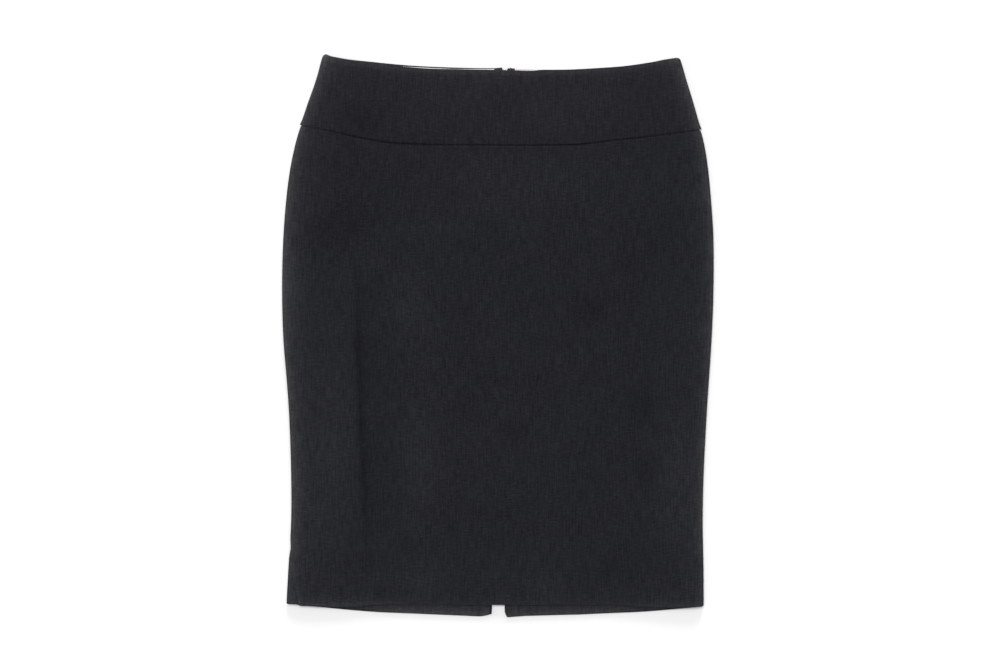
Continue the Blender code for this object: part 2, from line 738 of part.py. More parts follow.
def main():
    for thing in list(bpy.data.objects):
        bpy.data.objects.remove(thing, do_unlink=True)

    wool = material("charcoal_wool", (0.018, 0.019, 0.023), 0.95)
    satin = material("pale_satin", (0.62, 0.58, 0.57), 0.45)
    tape = material("zip_tape", (0.02, 0.018, 0.018), 0.8)
    enamel = material("dark_enamel", (0.03, 0.028, 0.03), 0.4)

    make_front(wool)
    for side, word in ((-1, "left"), (1, "right")):
        make_back(side, word, wool)
        make_facing(side, word, satin)
        make_tape(side, word, tape)

    pivot = bpy.data.objects.new("pull_pivot", None)
    slider_up = edge_up("back_waist", CENTRE_BACK) - SLIDER_BELOW_WAIST
    pivot.location = (CENTRE_BACK, slider_up, PIN_HEIGHT)
    bpy.context.scene.collection.objects.link(pivot)
    make_slider(pivot, enamel)
    make_pull(pivot, enamel)


main()
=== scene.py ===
"""Pencil skirt in charcoal wool suiting, laid flat on its back with the front up.

Sizes are in millimetres until a mesh is made. +X is the right of the laid front, +Y runs from the hem
to the waist and +Z is up from the floor.
"""

import math
from collections import namedtuple

import bpy
import numpy as np
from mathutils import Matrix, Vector


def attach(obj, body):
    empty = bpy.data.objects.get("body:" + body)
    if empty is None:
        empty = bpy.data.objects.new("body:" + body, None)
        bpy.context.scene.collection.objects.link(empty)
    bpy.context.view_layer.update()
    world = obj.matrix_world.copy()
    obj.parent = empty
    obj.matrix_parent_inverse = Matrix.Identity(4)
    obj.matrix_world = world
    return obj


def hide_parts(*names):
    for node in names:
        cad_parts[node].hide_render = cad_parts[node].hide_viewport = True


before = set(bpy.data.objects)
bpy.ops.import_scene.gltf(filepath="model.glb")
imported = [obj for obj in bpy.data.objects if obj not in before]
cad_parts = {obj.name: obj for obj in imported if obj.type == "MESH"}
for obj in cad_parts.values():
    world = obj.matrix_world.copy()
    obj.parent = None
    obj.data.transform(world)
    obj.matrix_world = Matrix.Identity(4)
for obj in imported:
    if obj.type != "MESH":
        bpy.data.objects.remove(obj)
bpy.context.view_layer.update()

# ==== Back panels ====================================================================================
# Two panels of charcoal wool suiting lie face down on the floor, joined down the centre back. They
# roll up round both side folds to the side seams. Their hem and the slit's edges are turned in.

MM = 0.001

# The laid outline: half widths from the middle, hem to waist.
Level = namedtuple("Level", "up left right")
LEVELS = (
    Level(-303.0, 224.4, 226.9),
    Level(-276.0, 223.25, 226.7),
    Level(-249.0, 222.1, 226.15),
    Level(-199.0, 219.9, 224.7),
    Level(-149.0, 220.6, 225.1),
    Level(-89.0, 223.3, 227.4),
    Level(-49.0, 226.5, 229.5),
    Level(-9.0, 230.3, 231.75),
    Level(31.0, 232.2, 233.2),
    Level(71.0, 232.6, 233.5),
    Level(111.0, 231.5, 232.6),
    Level(151.0, 228.6, 229.4),
    Level(181.0, 224.8, 226.15),
    Level(211.0, 218.7, 221.1),
    Level(241.0, 210.2, 213.1),
    Level(271.0, 200.1, 203.75),
    Level(303.0, 190.6, 193.0),
)

# The cut edges, read from side to side: -1 is the left fold and 1 the right.
Edge = namedtuple("Edge", "across back_waist front_waist yoke_seam front_hem back_hem")
EDGES = (
    Edge(-1.00, 302.4, 301.5, 225.6, -291.8, -291.8),
    Edge(-0.955, 300.5, 299.6, 223.9, -292.5, -292.2),
    Edge(-0.93, 299.7, 298.8, 223.0, -293.2, -293.8),
    Edge(-0.90, 298.7, 297.8, 221.9, -293.4, -293.9),
    Edge(-0.85, 297.2, 296.3, 220.0, -294.0, -294.6),
    Edge(-0.70, 294.5, 292.8, 213.2, -294.3, -297.35),
    Edge(-0.55, 292.0, 290.03, 208.1, -291.6, -299.5),
    Edge(-0.40, 290.5, 288.1, 206.6, -290.8, -300.5),
    Edge(-0.20, 289.6, 287.7, 206.3, -290.5, -301.95),
    Edge(0.00, 289.4, 287.2, 206.7, -290.1, -303.3),
    Edge(0.05, 289.4, 287.06, 206.76, -290.0, -303.7),
    Edge(0.10, 289.4, 286.9, 206.8, -289.9, -302.8),
    Edge(0.15, 289.4, 286.65, 206.85, -289.7, -301.85),
    Edge(0.19, 289.1, 286.9, 206.9, -289.6, -301.5),
    Edge(0.23, 288.35, 288.05, 207.1, -289.5, -301.1),
    Edge(0.30, 288.55, 288.3, 207.5, -289.4, -300.5),
    Edge(0.40, 289.05, 288.85, 208.3, -289.3, -299.7),
    Edge(0.55, 290.8, 290.7, 212.7, -289.1, -297.8),
    Edge(0.70, 293.4, 293.2, 216.3, -291.0, -295.95),
    Edge(0.85, 297.8, 297.6, 220.7, -291.2, -292.95),
    Edge(0.93, 301.0, 300.9, 223.4, -290.4, -291.2),
    Edge(1.00, 302.9, 302.9, 225.7, -289.4, -289.4),
)
EDGE_LEVEL = {
    "back_waist": 290.0,
    "front_waist": 290.0,
    "yoke_seam": 212.0,
    "front_hem": -291.0,
    "back_hem": -298.0,
}

# How high the laid front stands: the two side rolls and the middle.
Height = namedtuple("Height", "up crown_left crown_right middle")
HEIGHTS = (
    Height(-303.0, 6.1, 6.2, 5.0),
    Height(-262.0, 6.7, 6.7, 4.9),
    Height(-235.0, 6.9, 6.9, 4.4),
    Height(-150.0, 7.1, 7.1, 4.25),
    Height(0.0, 7.1, 6.9, 4.3),
    Height(110.0, 7.0, 7.1, 4.6),
    Height(215.0, 6.8, 6.8, 4.9),
    Height(303.0, 6.3, 6.2, 5.0),
)

# Soft creases and hollows, each an oval with its long side turned from +X.
Swell = namedtuple("Swell", "x up turn long wide rise")
BACK_CREASES = (
    Swell(70.0, 40.0, 62.0, 80.0, 9.0, 0.45),
    Swell(152.0, -140.0, 96.0, 70.0, 8.0, 0.40),
    Swell(-60.0, 125.0, 70.0, 50.0, 8.0, 0.40),
    Swell(-190.0, -40.0, 88.0, 100.0, 8.0, 0.45),
    Swell(75.0, -225.0, 20.0, 45.0, 9.0, 0.35),
    Swell(-92.0, -195.0, 75.0, 45.0, 8.0, 0.30),
    Swell(130.0, 125.0, 130.0, 45.0, 8.0, 0.35),
)

# The cloth, its turnings and its gaps.
CLOTH = 1.1
HEM_PLIES = 2.2
PLY_STEP = 1.2
PRESSED_UNDER = 0.4
HEM_DEPTH = 35.0
ALLOWANCE = 9.0
SEAM_GAP = 0.3
PANEL_TUCK = 0.9
STEP_FADE = 12.0
TRIM_FADE = 12.0
HEM_CORNER_LEFT = 1.3
HEM_CORNER_RIGHT = 2.4

# The side folds, and the left side seam's way over on to the front at the bottom.
ROLL_RADIUS = 2.5
ROLL_TURN = math.radians(70)
CROWN_INSET = 14.0
WRAP_TOP = -234.0
WRAP_BOTTOM = -291.6
WRAP_RUN = 14.6
WRAP_BEND = 1.15
NICK = 1.1
NICK_ABOVE = 17.0
NICK_BELOW = 6.0

# The centre back: the slit and its two corners, and the open V above the slider.
CENTRE_BACK = 5.3
SLIT_TOP = -130.0
SLIT_HALF = 7.2
SLIT_BEND = 1.2
SLIT_DRIFT = -0.42
SLIT_CORNER = {-1: (3.25, 13.0), 1: (5.8, 2.95)}
SLIT_CORNER_BEND = 1.5
SLIT_FACING = 24.0
SLIT_FACING_ABOVE = 12.0
SLIT_FACING_END = 3.0
ZIP_V_DEPTH = 18.0
ZIP_V_HALF = 2.8
ZIP_V_BEND = 1.2

# The rise over the slider and its tab.
SLIDER_BELOW_WAIST = 9.0
TAB_MIDDLE_BELOW_SLIDER = 5.0
LIFT = 2.35
LIFT_HALF_WIDTH = 30.0
LIFT_HALF_LENGTH = 38.0

# The yoke seam's dip and its line of painted shade, and how much of each is lost over what run at its ends.
SEAM_SINK = 1.3
SEAM_LIP = 2.1
SEAM_PAINTED_SHADE = 0.18
SEAM_SHADE_SLANT = -0.0005
SEAM_SHADE_REACH = 0.9
SEAM_END = 150.0
SEAM_SINK_LOSS = (0.4, 50.0)
SEAM_SHADE_LOSS = (0.9, 45.0)

# Painted light along folds in a close and a wide band, and painted shade where they are sharpest.
LIGHT_CLOSE_RUN = 4.8
LIGHT_WIDE_RUN = 19.0
FOLD_PAINTED_LIGHT = {-1: (1.80, 0.74), 1: (1.95, 0.38)}
FOLD_PAINTED_SHADE = 1.20
EDGE_SHADE_REACH = 1.0
# Painted light lost at the foot of each fold, and painted shade along the fold line there.
FOOT_PAINTED_LIGHT = {-1: (-250.0, 30.0, 0.8), 1: (-205.0, 40.0, 0.5)}
FOOT_PAINTED_SHADE = {-1: 0.55, 1: 1.00}
# Painted shade along the slit's edges: how much on each side, how far it reaches and how deep.
SLIT_PAINTED_SHADE = {-1: 1.0, 1: 0.45}
SLIT_SHADE_REACH = 1.5
SLIT_SHADE_DEPTH = 0.5
# Painted light along the back hem, and painted shade at its very edge, more towards the sides.
BACK_HEM_PAINTED_LIGHT = (1.10, 1.35)
HEM_EDGE_SHADE = 0.65
HEM_EDGE_SHADE_AT_SIDE = 0.45
HEM_SIDE = 105.0
HEM_SIDE_RUN = 50.0

# Where the painted light along the back hem fades: on which side, from how far out, over how far and how
# much.
HEM_LIGHT_FADES = (
    (-1, 120.0, 32.0, 0.65),
    (1, 0.0, 40.0, 0.12),
    (1, 135.0, 35.0, 0.32),
)


def along(table, column, at):
    """The column's values at the places `at` in the table's first column, on a smooth curve."""
    keys = np.array([row[0] for row in table])
    values = np.array([getattr(row, column) for row in table])
    slopes = np.empty_like(values)
    slopes[1:-1] = (values[2:] - values[:-2]) / (keys[2:] - keys[:-2])
    slopes[0] = (values[1] - values[0]) / (keys[1] - keys[0])
    slopes[-1] = (values[-1] - values[-2]) / (keys[-1] - keys[-2])
    at = np.clip(at, keys[0], keys[-1])
    i = np.clip(np.searchsorted(keys, at, side="right") - 1, 0, len(keys) - 2)
    step = keys[i + 1] - keys[i]
    t = (at - keys[i]) / step
    rise = values[i + 1] - values[i]
    start, end = slopes[i] * step, slopes[i + 1] * step
    return values[i] + t * (start + t * (3 * rise - 2 * start - end + t * (start + end - 2 * rise)))


def smooth(share):
    """0 to 1 with level ends."""
    share = np.clip(share, 0.0, 1.0)
    return share * share * (3 - 2 * share)


def bell(distance, reach):
    """1 at the middle, easing to 0 at the reach."""
    return smooth(1 - np.abs(distance) / reach)


def hill(distance, reach):
    """1 at the middle, falling away softly on both sides."""
    return np.exp(-((distance / reach) ** 2))


def half_width(side, up):
    """Out to the outline. The side seam nicks it a little where the seam starts over on to the front."""
    up = np.asarray(up, float)
    if side > 0:
        return along(LEVELS, "right", up)
    above = up - WRAP_TOP
    return along(LEVELS, "left", up) - NICK * bell(above, np.where(above > 0, NICK_ABOVE, NICK_BELOW))


def edge_up(edge, x):
    """Where a cut edge lies, at this distance across."""
    x = np.asarray(x, float)
    level = EDGE_LEVEL[edge]
    across = x / np.where(x < 0, half_width(-1, level), half_width(1, level))
    return along(EDGES, edge, across)


def rounding(distance, radius):
    """How far a quarter-round edge falls away, this far from its end."""
    left = radius - np.clip(distance, 0, radius)
    return radius - np.sqrt(np.maximum(radius**2 - left**2, 0))


def trimmed(outline, inset, trim):
    """Distance out of a place this far in from the outline: a trim fades away inwards."""
    return outline - inset - trim * (1 - smooth(inset / TRIM_FADE))


def zip_bell(x, up, half_wide, half_long):
    """The rise round the slider and its tab."""
    middle = edge_up("back_waist", CENTRE_BACK) - SLIDER_BELOW_WAIST - TAB_MIDDLE_BELOW_SLIDER
    return bell(x - CENTRE_BACK, half_wide) * bell(up - middle, half_long)


def ovals(table, x, up):
    """The sum of a table's soft ovals."""
    total = 0.0
    for oval in table:
        turn = math.radians(oval.turn)
        dx, dy = x - oval.x, up - oval.up
        long_way = (dx * math.cos(turn) + dy * math.sin(turn)) / oval.long
        wide_way = (dy * math.cos(turn) - dx * math.sin(turn)) / oval.wide
        total = total + oval.rise * np.exp(-(long_way**2) - wide_way**2)
    return total


def back_lift(x, up):
    """How far the back stands off the floor: over the slider, and along its soft creases."""
    return LIFT * zip_bell(x, up, LIFT_HALF_WIDTH, LIFT_HALF_LENGTH) + ovals(BACK_CREASES, x, up)


def side_seam_run(side, up):
    """Where the side seam lies on the fold: at the outline, and over on to the front at the bottom left."""
    if side > 0:
        return np.zeros_like(np.asarray(up, float))
    share = np.clip((WRAP_TOP - np.asarray(up)) / (WRAP_TOP - WRAP_BOTTOM), 0.0, 1.0)
    return WRAP_RUN * share**WRAP_BEND


def fold_spot(side, run, up, trim, front_height):
    """x, height and lean on the outer face of a side fold. The run starts at its outermost line."""
    arc_end = ROLL_TURN * ROLL_RADIUS
    lean = np.minimum(run, arc_end) / ROLL_RADIUS
    beyond = np.maximum(run - arc_end, 0)
    inset = ROLL_RADIUS * (1 - np.cos(lean)) + beyond
    x = side * trimmed(half_width(side, up), inset, trim)
    start = ROLL_RADIUS * (1 + math.sin(ROLL_TURN))
    reach = CROWN_INSET - ROLL_RADIUS * (1 - math.cos(ROLL_TURN))
    crown = along(HEIGHTS, "crown_left" if side < 0 else "crown_right", up)
    t = np.minimum(beyond / reach, 1)
    on_roll = run <= arc_end
    on_front = inset >= CROWN_INSET
    slope = 2 * (crown - start) / reach * (1 - t)
    height = np.where(on_roll, ROLL_RADIUS * (1 + np.sin(lean)), start + (crown - start) * t * (2 - t))
    height = np.where(on_front, front_height(x, up), height)
    return x, height, np.where(on_roll, lean, math.pi / 2 - np.arctan(slope))


def centre_edge(side, up):
    """The back half's edge at the centre: apart above the slider, closed, then apart down the slit."""
    waist = edge_up("back_waist", CENTRE_BACK)
    hem = edge_up("back_hem", CENTRE_BACK)
    gap = SEAM_GAP / 2
    gap = gap + ZIP_V_HALF * np.clip(1 - (waist - up) / ZIP_V_DEPTH, 0, 1) ** ZIP_V_BEND
    parted = np.clip((SLIT_TOP - up) / (SLIT_TOP - hem), 0, 1) ** SLIT_BEND
    return CENTRE_BACK + SLIT_DRIFT * parted + side * (gap + SLIT_HALF * parted)


def round_steps(radius, parts=5):
    """Distances from an edge at which a quarter-round has even turns."""
    return radius * (1 - np.cos(np.linspace(0, math.pi / 2, parts + 1)))


def rows_down(top, bottom, top_steps, bottom_steps, count):
    """Heights for each column: fixed distances at both ends, even steps between."""
    top, bottom = top[None, :], bottom[None, :]
    shares = (np.arange(count) + 1)[:, None] / (count + 1)
    first, last = top - top_steps[-1], bottom + bottom_steps[-1]
    return np.concatenate(
        [top - top_steps[:, None], first + (last - first) * shares, bottom + bottom_steps[::-1, None]]
    )


def put_in_scene(name, data):
    made = bpy.data.objects.new(name, data)
    bpy.context.scene.collection.objects.link(made)
    return made


def wall_faces(rim):
    """The quads of a wall's outer and inner faces, which share the points of their rim."""
    outer = np.arange(rim.size).reshape(rim.shape)
    inner = outer.copy()
    inner[~rim] = rim.size + np.arange((~rim).sum())
    faces = []
    for index in (outer, inner):
        quads = np.stack([index[:-1, :-1], index[1:, :-1], index[1:, 1:], index[:-1, 1:]], axis=-1)
        faces.append(quads.reshape(-1, 4))
    return np.concatenate([faces[0], faces[1][:, ::-1]])


def quad_mesh(name, points, faces):
    mesh = bpy.data.meshes.new(name)
    mesh.vertices.add(len(points))
    mesh.vertices.foreach_set("co", points.astype(np.float32).ravel())
    mesh.loops.add(faces.size)
    mesh.loops.foreach_set("vertex_index", faces.astype(np.int32).ravel())
    mesh.polygons.add(len(faces))
    mesh.polygons.foreach_set("loop_start", np.arange(0, faces.size, 4, dtype=np.int32))
    mesh.update(calc_edges=True)
    mesh.validate()
    return mesh


def cloth_across(x, outer):
    """Distance across the cloth, over its folds, so that it agrees with x nearest the middle."""
    step = np.diff(outer[..., [0, 2]], axis=1)
    run = np.cumsum(np.hypot(step[..., 0], step[..., 1]), axis=1)
    across = np.concatenate([np.zeros((len(x), 1)), run], axis=1)
    row, middle = np.arange(len(x)), np.abs(x).argmin(axis=1)
    return across + (x[row, middle] - across[row, middle])[:, None]


def sewn_wall(name, x, up, height, lean, side, thick, nearest, material, marks=None):
    """A closed cloth wall between an outer face and an inner one, rounded off towards its nearest edge.

    Its UV map runs in metres across and along the cloth, and each mark is a value kept at its points.
    """
    drop = rounding(nearest, thick / 2)
    out = np.stack([side * np.cos(lean), np.zeros_like(x), np.sin(lean)], axis=-1)
    spot = np.stack([x, up, height], axis=-1)
    outer = spot - out * drop[..., None]
    inner = spot - out * (thick - drop)[..., None]
    rim = np.ones(x.shape, bool)
    rim[1:-1, 1:-1] = False
    outer[rim] = (outer[rim] + inner[rim]) / 2
    faces = wall_faces(rim)
    mesh = quad_mesh(name, np.concatenate([outer.reshape(-1, 3), inner[~rim]]) * MM, faces)
    flat = np.stack([cloth_across(x, outer), up], axis=-1)
    flat = np.concatenate([flat.reshape(-1, 2), flat[~rim]]) * MM
    cloth_map = mesh.uv_layers.new(name="cloth")
    cloth_map.data.foreach_set("uv", flat[faces.ravel()].astype(np.float32).ravel())
    for word, values in (marks or {}).items():
        kept = np.concatenate([values.ravel(), values[~rim]])
        mark = mesh.attributes.new(word, "FLOAT", "POINT")
        mark.data.foreach_set("value", kept.astype(np.float32))
    mesh.materials.append(material)
    mesh.shade_smooth()
    return put_in_scene(name, mesh)


def give(tree, node, sockets):
    """Set a node's sockets to values, or link them."""
    for key, value in sockets.items():
        if isinstance(value, bpy.types.NodeSocket):
            tree.links.new(value, node.inputs[key])
        else:
            node.inputs[key].default_value = value


def add_node(tree, kind, sockets=None, **settings):
    made = tree.nodes.new(kind)
    for word, value in settings.items():
        setattr(made, word, value)
    give(tree, made, sockets or {})
    return made


def maths(tree, operation, first, second=0.0, third=0.0, clamp=False):
    sockets = {0: first, 1: second, 2: third}
    return add_node(tree, "ShaderNodeMath", sockets, operation=operation, use_clamp=clamp).outputs[0]


def blend(tree, share, first, second):
    """One colour passing into another."""
    return add_node(tree, "ShaderNodeMix", {0: share, 6: first, 7: second}, data_type="RGBA").outputs[2]


def shaded(tree, colour, shade):
    return add_node(tree, "ShaderNodeVectorMath", {0: colour, 3: shade}, operation="SCALE").outputs[0]


def raised(tree, height, strength, distance):
    """The fine relief of a surface."""
    sockets = {"Strength": strength, "Distance": distance, "Height": height}
    return add_node(tree, "ShaderNodeBump", sockets).outputs[0]


# A noise whose grains are so wide and so long in metres, and how far it swings a shade.
Grain = namedtuple("Grain", "wide long detail start swing", defaults=(0.0,))


def grain_noise(tree, across, along_it, grain):
    sockets = {
        "X": maths(tree, "MULTIPLY_ADD", across, 1 / grain.wide, grain.start),
        "Y": maths(tree, "MULTIPLY", along_it, 1 / grain.long),
    }
    place = add_node(tree, "ShaderNodeCombineXYZ", sockets).outputs[0]
    noise = {"Vector": place, "Scale": 1.0, "Detail": grain.detail, "Roughness": 0.55}
    return add_node(tree, "ShaderNodeTexNoise", noise, noise_dimensions="2D").outputs["Fac"]


def swing(tree, value, share):
    """A multiplier that swings about 1 as the noise swings about its middle."""
    return maths(tree, "MULTIPLY_ADD", value, 2 * share, 1 - share)


def new_finish(name):
    """A new material, its nodes and its main shader."""
    made = bpy.data.materials.new(name)
    made.use_nodes = True
    return made, made.node_tree, made.node_tree.nodes["Principled BSDF"]


def cloth_ways(tree):
    """The ways across and along a cloth, from its UV map."""
    uv = add_node(tree, "ShaderNodeUVMap", uv_map="cloth").outputs[0]
    split = add_node(tree, "ShaderNodeSeparateXYZ", {0: uv})
    return split.outputs[0], split.outputs[1]


WOOL_PITCH = 0.00052
WOOL_BUMP = (0.6, 0.00012)
YARN_RELIEF = 0.5
FUZZ_RELIEF = 0.6
WARM_YARN = (0.0127, 0.0122, 0.0153, 1)
COOL_YARN = (0.0108, 0.0124, 0.0161, 1)
# Colours of the painted highlights laid over the cloth along its edges and in patches.
PAINTED_SOFT_HIGHLIGHT = (0.0148, 0.0152, 0.0170, 1)
PAINTED_STRONG_HIGHLIGHT = (0.0158, 0.0149, 0.0145, 1)
PALE_FIBRE = (0.034, 0.034, 0.037, 1)
WARP_SLUB = Grain(1.7, 0.0065, 2.0, 0.37)
WEFT_SLUB = Grain(1.7, 0.0048, 2.0, 7.91)
SLUB_SWING = 0.26
HEATHER = (
    Grain(0.0017, 0.0180, 2.0, 3.1, 0.54),
    Grain(0.0078, 0.0017, 2.0, 12.7, 0.44),
    Grain(0.050, 0.070, 3.0, 5.3, 0.09),
    Grain(0.012, 0.017, 2.0, 21.0, 0.10),
)
FLECKS = Grain(0.0010, 0.0042, 2.0, 40.0)
YARN_DYE = Grain(0.0016, 0.0060, 2.0, 55.0)
CLOTH_DYE = Grain(0.16, 0.12, 1.0, 77.0)
FUZZ = Grain(0.00022, 0.0004, 2.0, 90.0)
DYE_ACROSS = -0.6
DYE_UP = 4.2

# How much of a value counts and what is added to it, and how softly the flecks fade out.
WEAVE_SHADE = (0.5, 0.72)
FLECK_SHARE = (8.0, -5.7)
FLECK_SOFT = 0.1
DYE_SHARE = (1.2, -1.15)
HIGHLIGHT_BLEND = (0.8, -0.4)


def wool_suiting():
    """Plain-woven heathered wool: dark yarns of uneven thickness, a few pale flecks, a soft sheen, painted
    light and shade.
    """
    made, tree, shader = new_finish("charcoal_wool_cloth")
    u, v = cloth_ways(tree)

    # The weave: warp and weft yarns pass over each other in turn.
    warp, weft = maths(tree, "DIVIDE", u, WOOL_PITCH), maths(tree, "DIVIDE", v, WOOL_PITCH)
    warp_number, weft_number = maths(tree, "FLOOR", warp), maths(tree, "FLOOR", weft)
    warp_over = maths(tree, "PINGPONG", maths(tree, "ADD", warp_number, weft_number), 1.0)
    warp_round = maths(tree, "SINE", maths(tree, "MULTIPLY", maths(tree, "FRACT", warp), math.pi))
    weft_round = maths(tree, "SINE", maths(tree, "MULTIPLY", maths(tree, "FRACT", weft), math.pi))
    crossing = maths(tree, "MULTIPLY", warp_round, weft_round)

    # Each yarn has its own slubs, long along the yarn and one yarn wide, under the cloth's heathering.
    warp_slub = grain_noise(tree, warp_number, v, WARP_SLUB)
    weft_slub = grain_noise(tree, weft_number, u, WEFT_SLUB)
    slubs = {0: warp_over, 2: weft_slub, 3: warp_slub}
    yarn = add_node(tree, "ShaderNodeMix", slubs, data_type="FLOAT").outputs[0]
    shade = swing(tree, yarn, SLUB_SWING)
    for grain in HEATHER:
        shade = maths(tree, "MULTIPLY", shade, swing(tree, grain_noise(tree, u, v, grain), grain.swing))
    # The yarns are painted darker towards their edges, where they dip between crossings: painted shade.
    shade = maths(tree, "MULTIPLY", shade, maths(tree, "MULTIPLY_ADD", crossing, *WEAVE_SHADE))

    # Painted highlights make the cloth paler along edges and in patches; painted shade darkens it in seams
    # and creases.
    painted_light = add_node(tree, "ShaderNodeAttribute", attribute_name="painted_light").outputs["Fac"]
    painted_shade = maths(tree, "ADD", maths(tree, "MINIMUM", painted_light, 0.0), 1.0)
    painted_highlight = maths(tree, "MULTIPLY", maths(tree, "MAXIMUM", painted_light, 0.0), shade)
    shade = maths(tree, "MULTIPLY", shade, painted_shade)

    # Pale fibres: short flecks along the warp.
    fleck = maths(tree, "MULTIPLY_ADD", grain_noise(tree, u, v, FLECKS), *FLECK_SHARE)
    fleck = maths(tree, "MINIMUM", maths(tree, "SMOOTH_MAX", fleck, 0.0, FLECK_SOFT), 1.0)

    # The dye takes a little redder towards the waist.
    redder = maths(tree, "MULTIPLY_ADD", grain_noise(tree, u, v, CLOTH_DYE), *DYE_SHARE)
    slope = maths(tree, "MULTIPLY_ADD", u, DYE_ACROSS, maths(tree, "MULTIPLY", v, DYE_UP))
    redder = maths(tree, "MAXIMUM", maths(tree, "ADD", redder, slope), 0.0)
    redder = maths(tree, "MINIMUM", redder, 1.0)
    hue = maths(tree, "SUBTRACT", grain_noise(tree, u, v, YARN_DYE), redder)
    colour = shaded(tree, blend(tree, hue, WARM_YARN, COOL_YARN), shade)
    highlight_mix = maths(tree, "MULTIPLY_ADD", painted_light, *HIGHLIGHT_BLEND, clamp=True)
    highlight_colour = shaded(tree, blend(tree, highlight_mix, PAINTED_SOFT_HIGHLIGHT, PAINTED_STRONG_HIGHLIGHT), painted_highlight)
    colour = add_node(tree, "ShaderNodeVectorMath", {0: colour, 1: highlight_colour}, operation="ADD").outputs[0]

    relief = maths(tree, "MULTIPLY", grain_noise(tree, u, v, FUZZ), FUZZ_RELIEF)
    relief = maths(tree, "MULTIPLY_ADD", yarn, YARN_RELIEF, maths(tree, "ADD", crossing, relief))
    looks = {
        "Base Color": blend(tree, fleck, colour, PALE_FIBRE),
        "Normal": raised(tree, relief, *WOOL_BUMP),
        "Roughness": 0.95,
        "Specular IOR Level": 0.08,
        "Sheen Weight": 0.22,
        "Sheen Roughness": 0.4,
        "Sheen Tint": (0.90, 0.91, 0.96, 1.0),
    }
    give(tree, shader, looks)
    return made


wool = wool_suiting()


def panel_trims(from_seam, from_hem):
    """How far a panel is tucked in under the yoke seam and at its rounded hem corners, left and right."""
    tuck = PANEL_TUCK * np.exp(-np.maximum(from_seam, 0) / STEP_FADE)
    return tuck + rounding(from_hem, HEM_CORNER_LEFT), tuck + rounding(from_hem, HEM_CORNER_RIGHT)


def less_at_ends(x, loss, run):
    """What is left of the yoke seam's mark, which is lost by so much over a run at each end."""
    return 1 - loss * smooth((np.abs(x) - SEAM_END) / run)


def seam_sink(x, from_seam):
    """A panel's top dips into the yoke seam and runs on under the yoke."""
    return SEAM_SINK * less_at_ends(x, *SEAM_SINK_LOSS) * smooth(1 - from_seam / SEAM_LIP)


def painted_edge_light(distance, close, wide, reach=1.0):
    """Painted light this far from a folded edge: a close rim and a wide soft band."""
    away = np.maximum(distance, 0) / reach
    return close * np.exp(-away / LIGHT_CLOSE_RUN) + wide * np.exp(-away / LIGHT_WIDE_RUN)


def light_kept_at_edge(distance, share=FOLD_PAINTED_SHADE):
    """How much painted light is kept near the sharpest line of a fold; a share over 1 paints shade there.
    """
    return 1 - share * hill(distance, EDGE_SHADE_REACH)


def fold_painted_light(side, x, up):
    """Painted light along the side folds, less so at their foot, where painted shade lines the fold."""
    close, wide = FOLD_PAINTED_LIGHT[side]
    start, run, loss = FOOT_PAINTED_LIGHT[side]
    kept = 1 - loss * smooth((start - up) / run)
    inset = half_width(side, up) - side * x
    painted_shade = FOOT_PAINTED_SHADE[side] * (1 - kept) * hill(inset, EDGE_SHADE_REACH)
    return painted_edge_light(inset, close * kept, wide * (1 + kept) / 2) * light_kept_at_edge(inset) - painted_shade


def seam_painted_shade(x, from_seam):
    """Painted shade along the yoke seam: most at the left, and hardly at its two ends."""
    amount = (SEAM_PAINTED_SHADE + SEAM_SHADE_SLANT * x) * less_at_ends(x, *SEAM_SHADE_LOSS)
    return -amount * hill(from_seam, SEAM_SHADE_REACH)


def back_hem_painted_light(x, from_hem):
    """Painted light along the back hem: weaker in places, and weakest at the very edge, which takes painted
    shade towards the sides.
    """
    light_share = 1
    for side, start, run, share in HEM_LIGHT_FADES:
        light_share = light_share - share * smooth((side * x - start) / run)
    towards_side = smooth((np.abs(x) - HEM_SIDE) / HEM_SIDE_RUN)
    light_share = light_share * light_kept_at_edge(from_hem, HEM_EDGE_SHADE + HEM_EDGE_SHADE_AT_SIDE * towards_side)
    return light_share * painted_edge_light(from_hem, *BACK_HEM_PAINTED_LIGHT)


def folded_in(distance, depth, step=PLY_STEP):
    """1 over the cloth turned in along an edge, with a short step where it ends."""
    return 1 - smooth((distance - depth + step / 2) / step)


def panel_thickness(from_seam, folded):
    """Thicker where an edge is turned in, and pressed thin under the yoke."""
    return CLOTH + (HEM_PLIES - CLOTH) * folded - PRESSED_UNDER * smooth(-from_seam / 2)


def suiting_piece(name, place, up, side, thick, nearest, stand, painted_light):
    """A piece of the suiting, its outer face so far out from its place on the laid form."""
    x, height, lean = place
    x = x + side * np.cos(lean) * stand
    height = height + np.sin(lean) * stand
    return sewn_wall(name, x, up, height, lean, side, thick, nearest, wool, {"painted_light": painted_light})


# The grid of a panel: fixed distances in from its edges, and how many columns and rows lie between them.
LIP_STEPS = round_steps(HEM_PLIES / 2, 6)
FLOOR_INSET = 20.0
FAR_OFF = 99.0
FOLD_COLUMNS = 34
BACK_COLUMNS = 36
BACK_ROWS = 84
CENTRE_STEPS = np.array([26, 24.8, 24.2, 23.8, 23.2, 21, 17, 13, 9, 6, 4, 2.6, 1.8])
PANEL_TOP_STEPS = np.array([2.5, 5, 7, 8.2, 8.6, 9, 9.35, 9.7, 10.05, 10.4, 10.8, 11.4, 12.4, 14, 17])
PANEL_TOP_STEPS = np.concatenate([round_steps(CLOTH / 2), PANEL_TOP_STEPS])
HEM_STEPS = np.array([1.6, 2.3, 3.5, 6, 10, 15, 20, 25, 30, 33, 34.2, 34.6, 35, 35.4, 36, 38])
HEM_STEPS = np.concatenate([LIP_STEPS, HEM_STEPS])


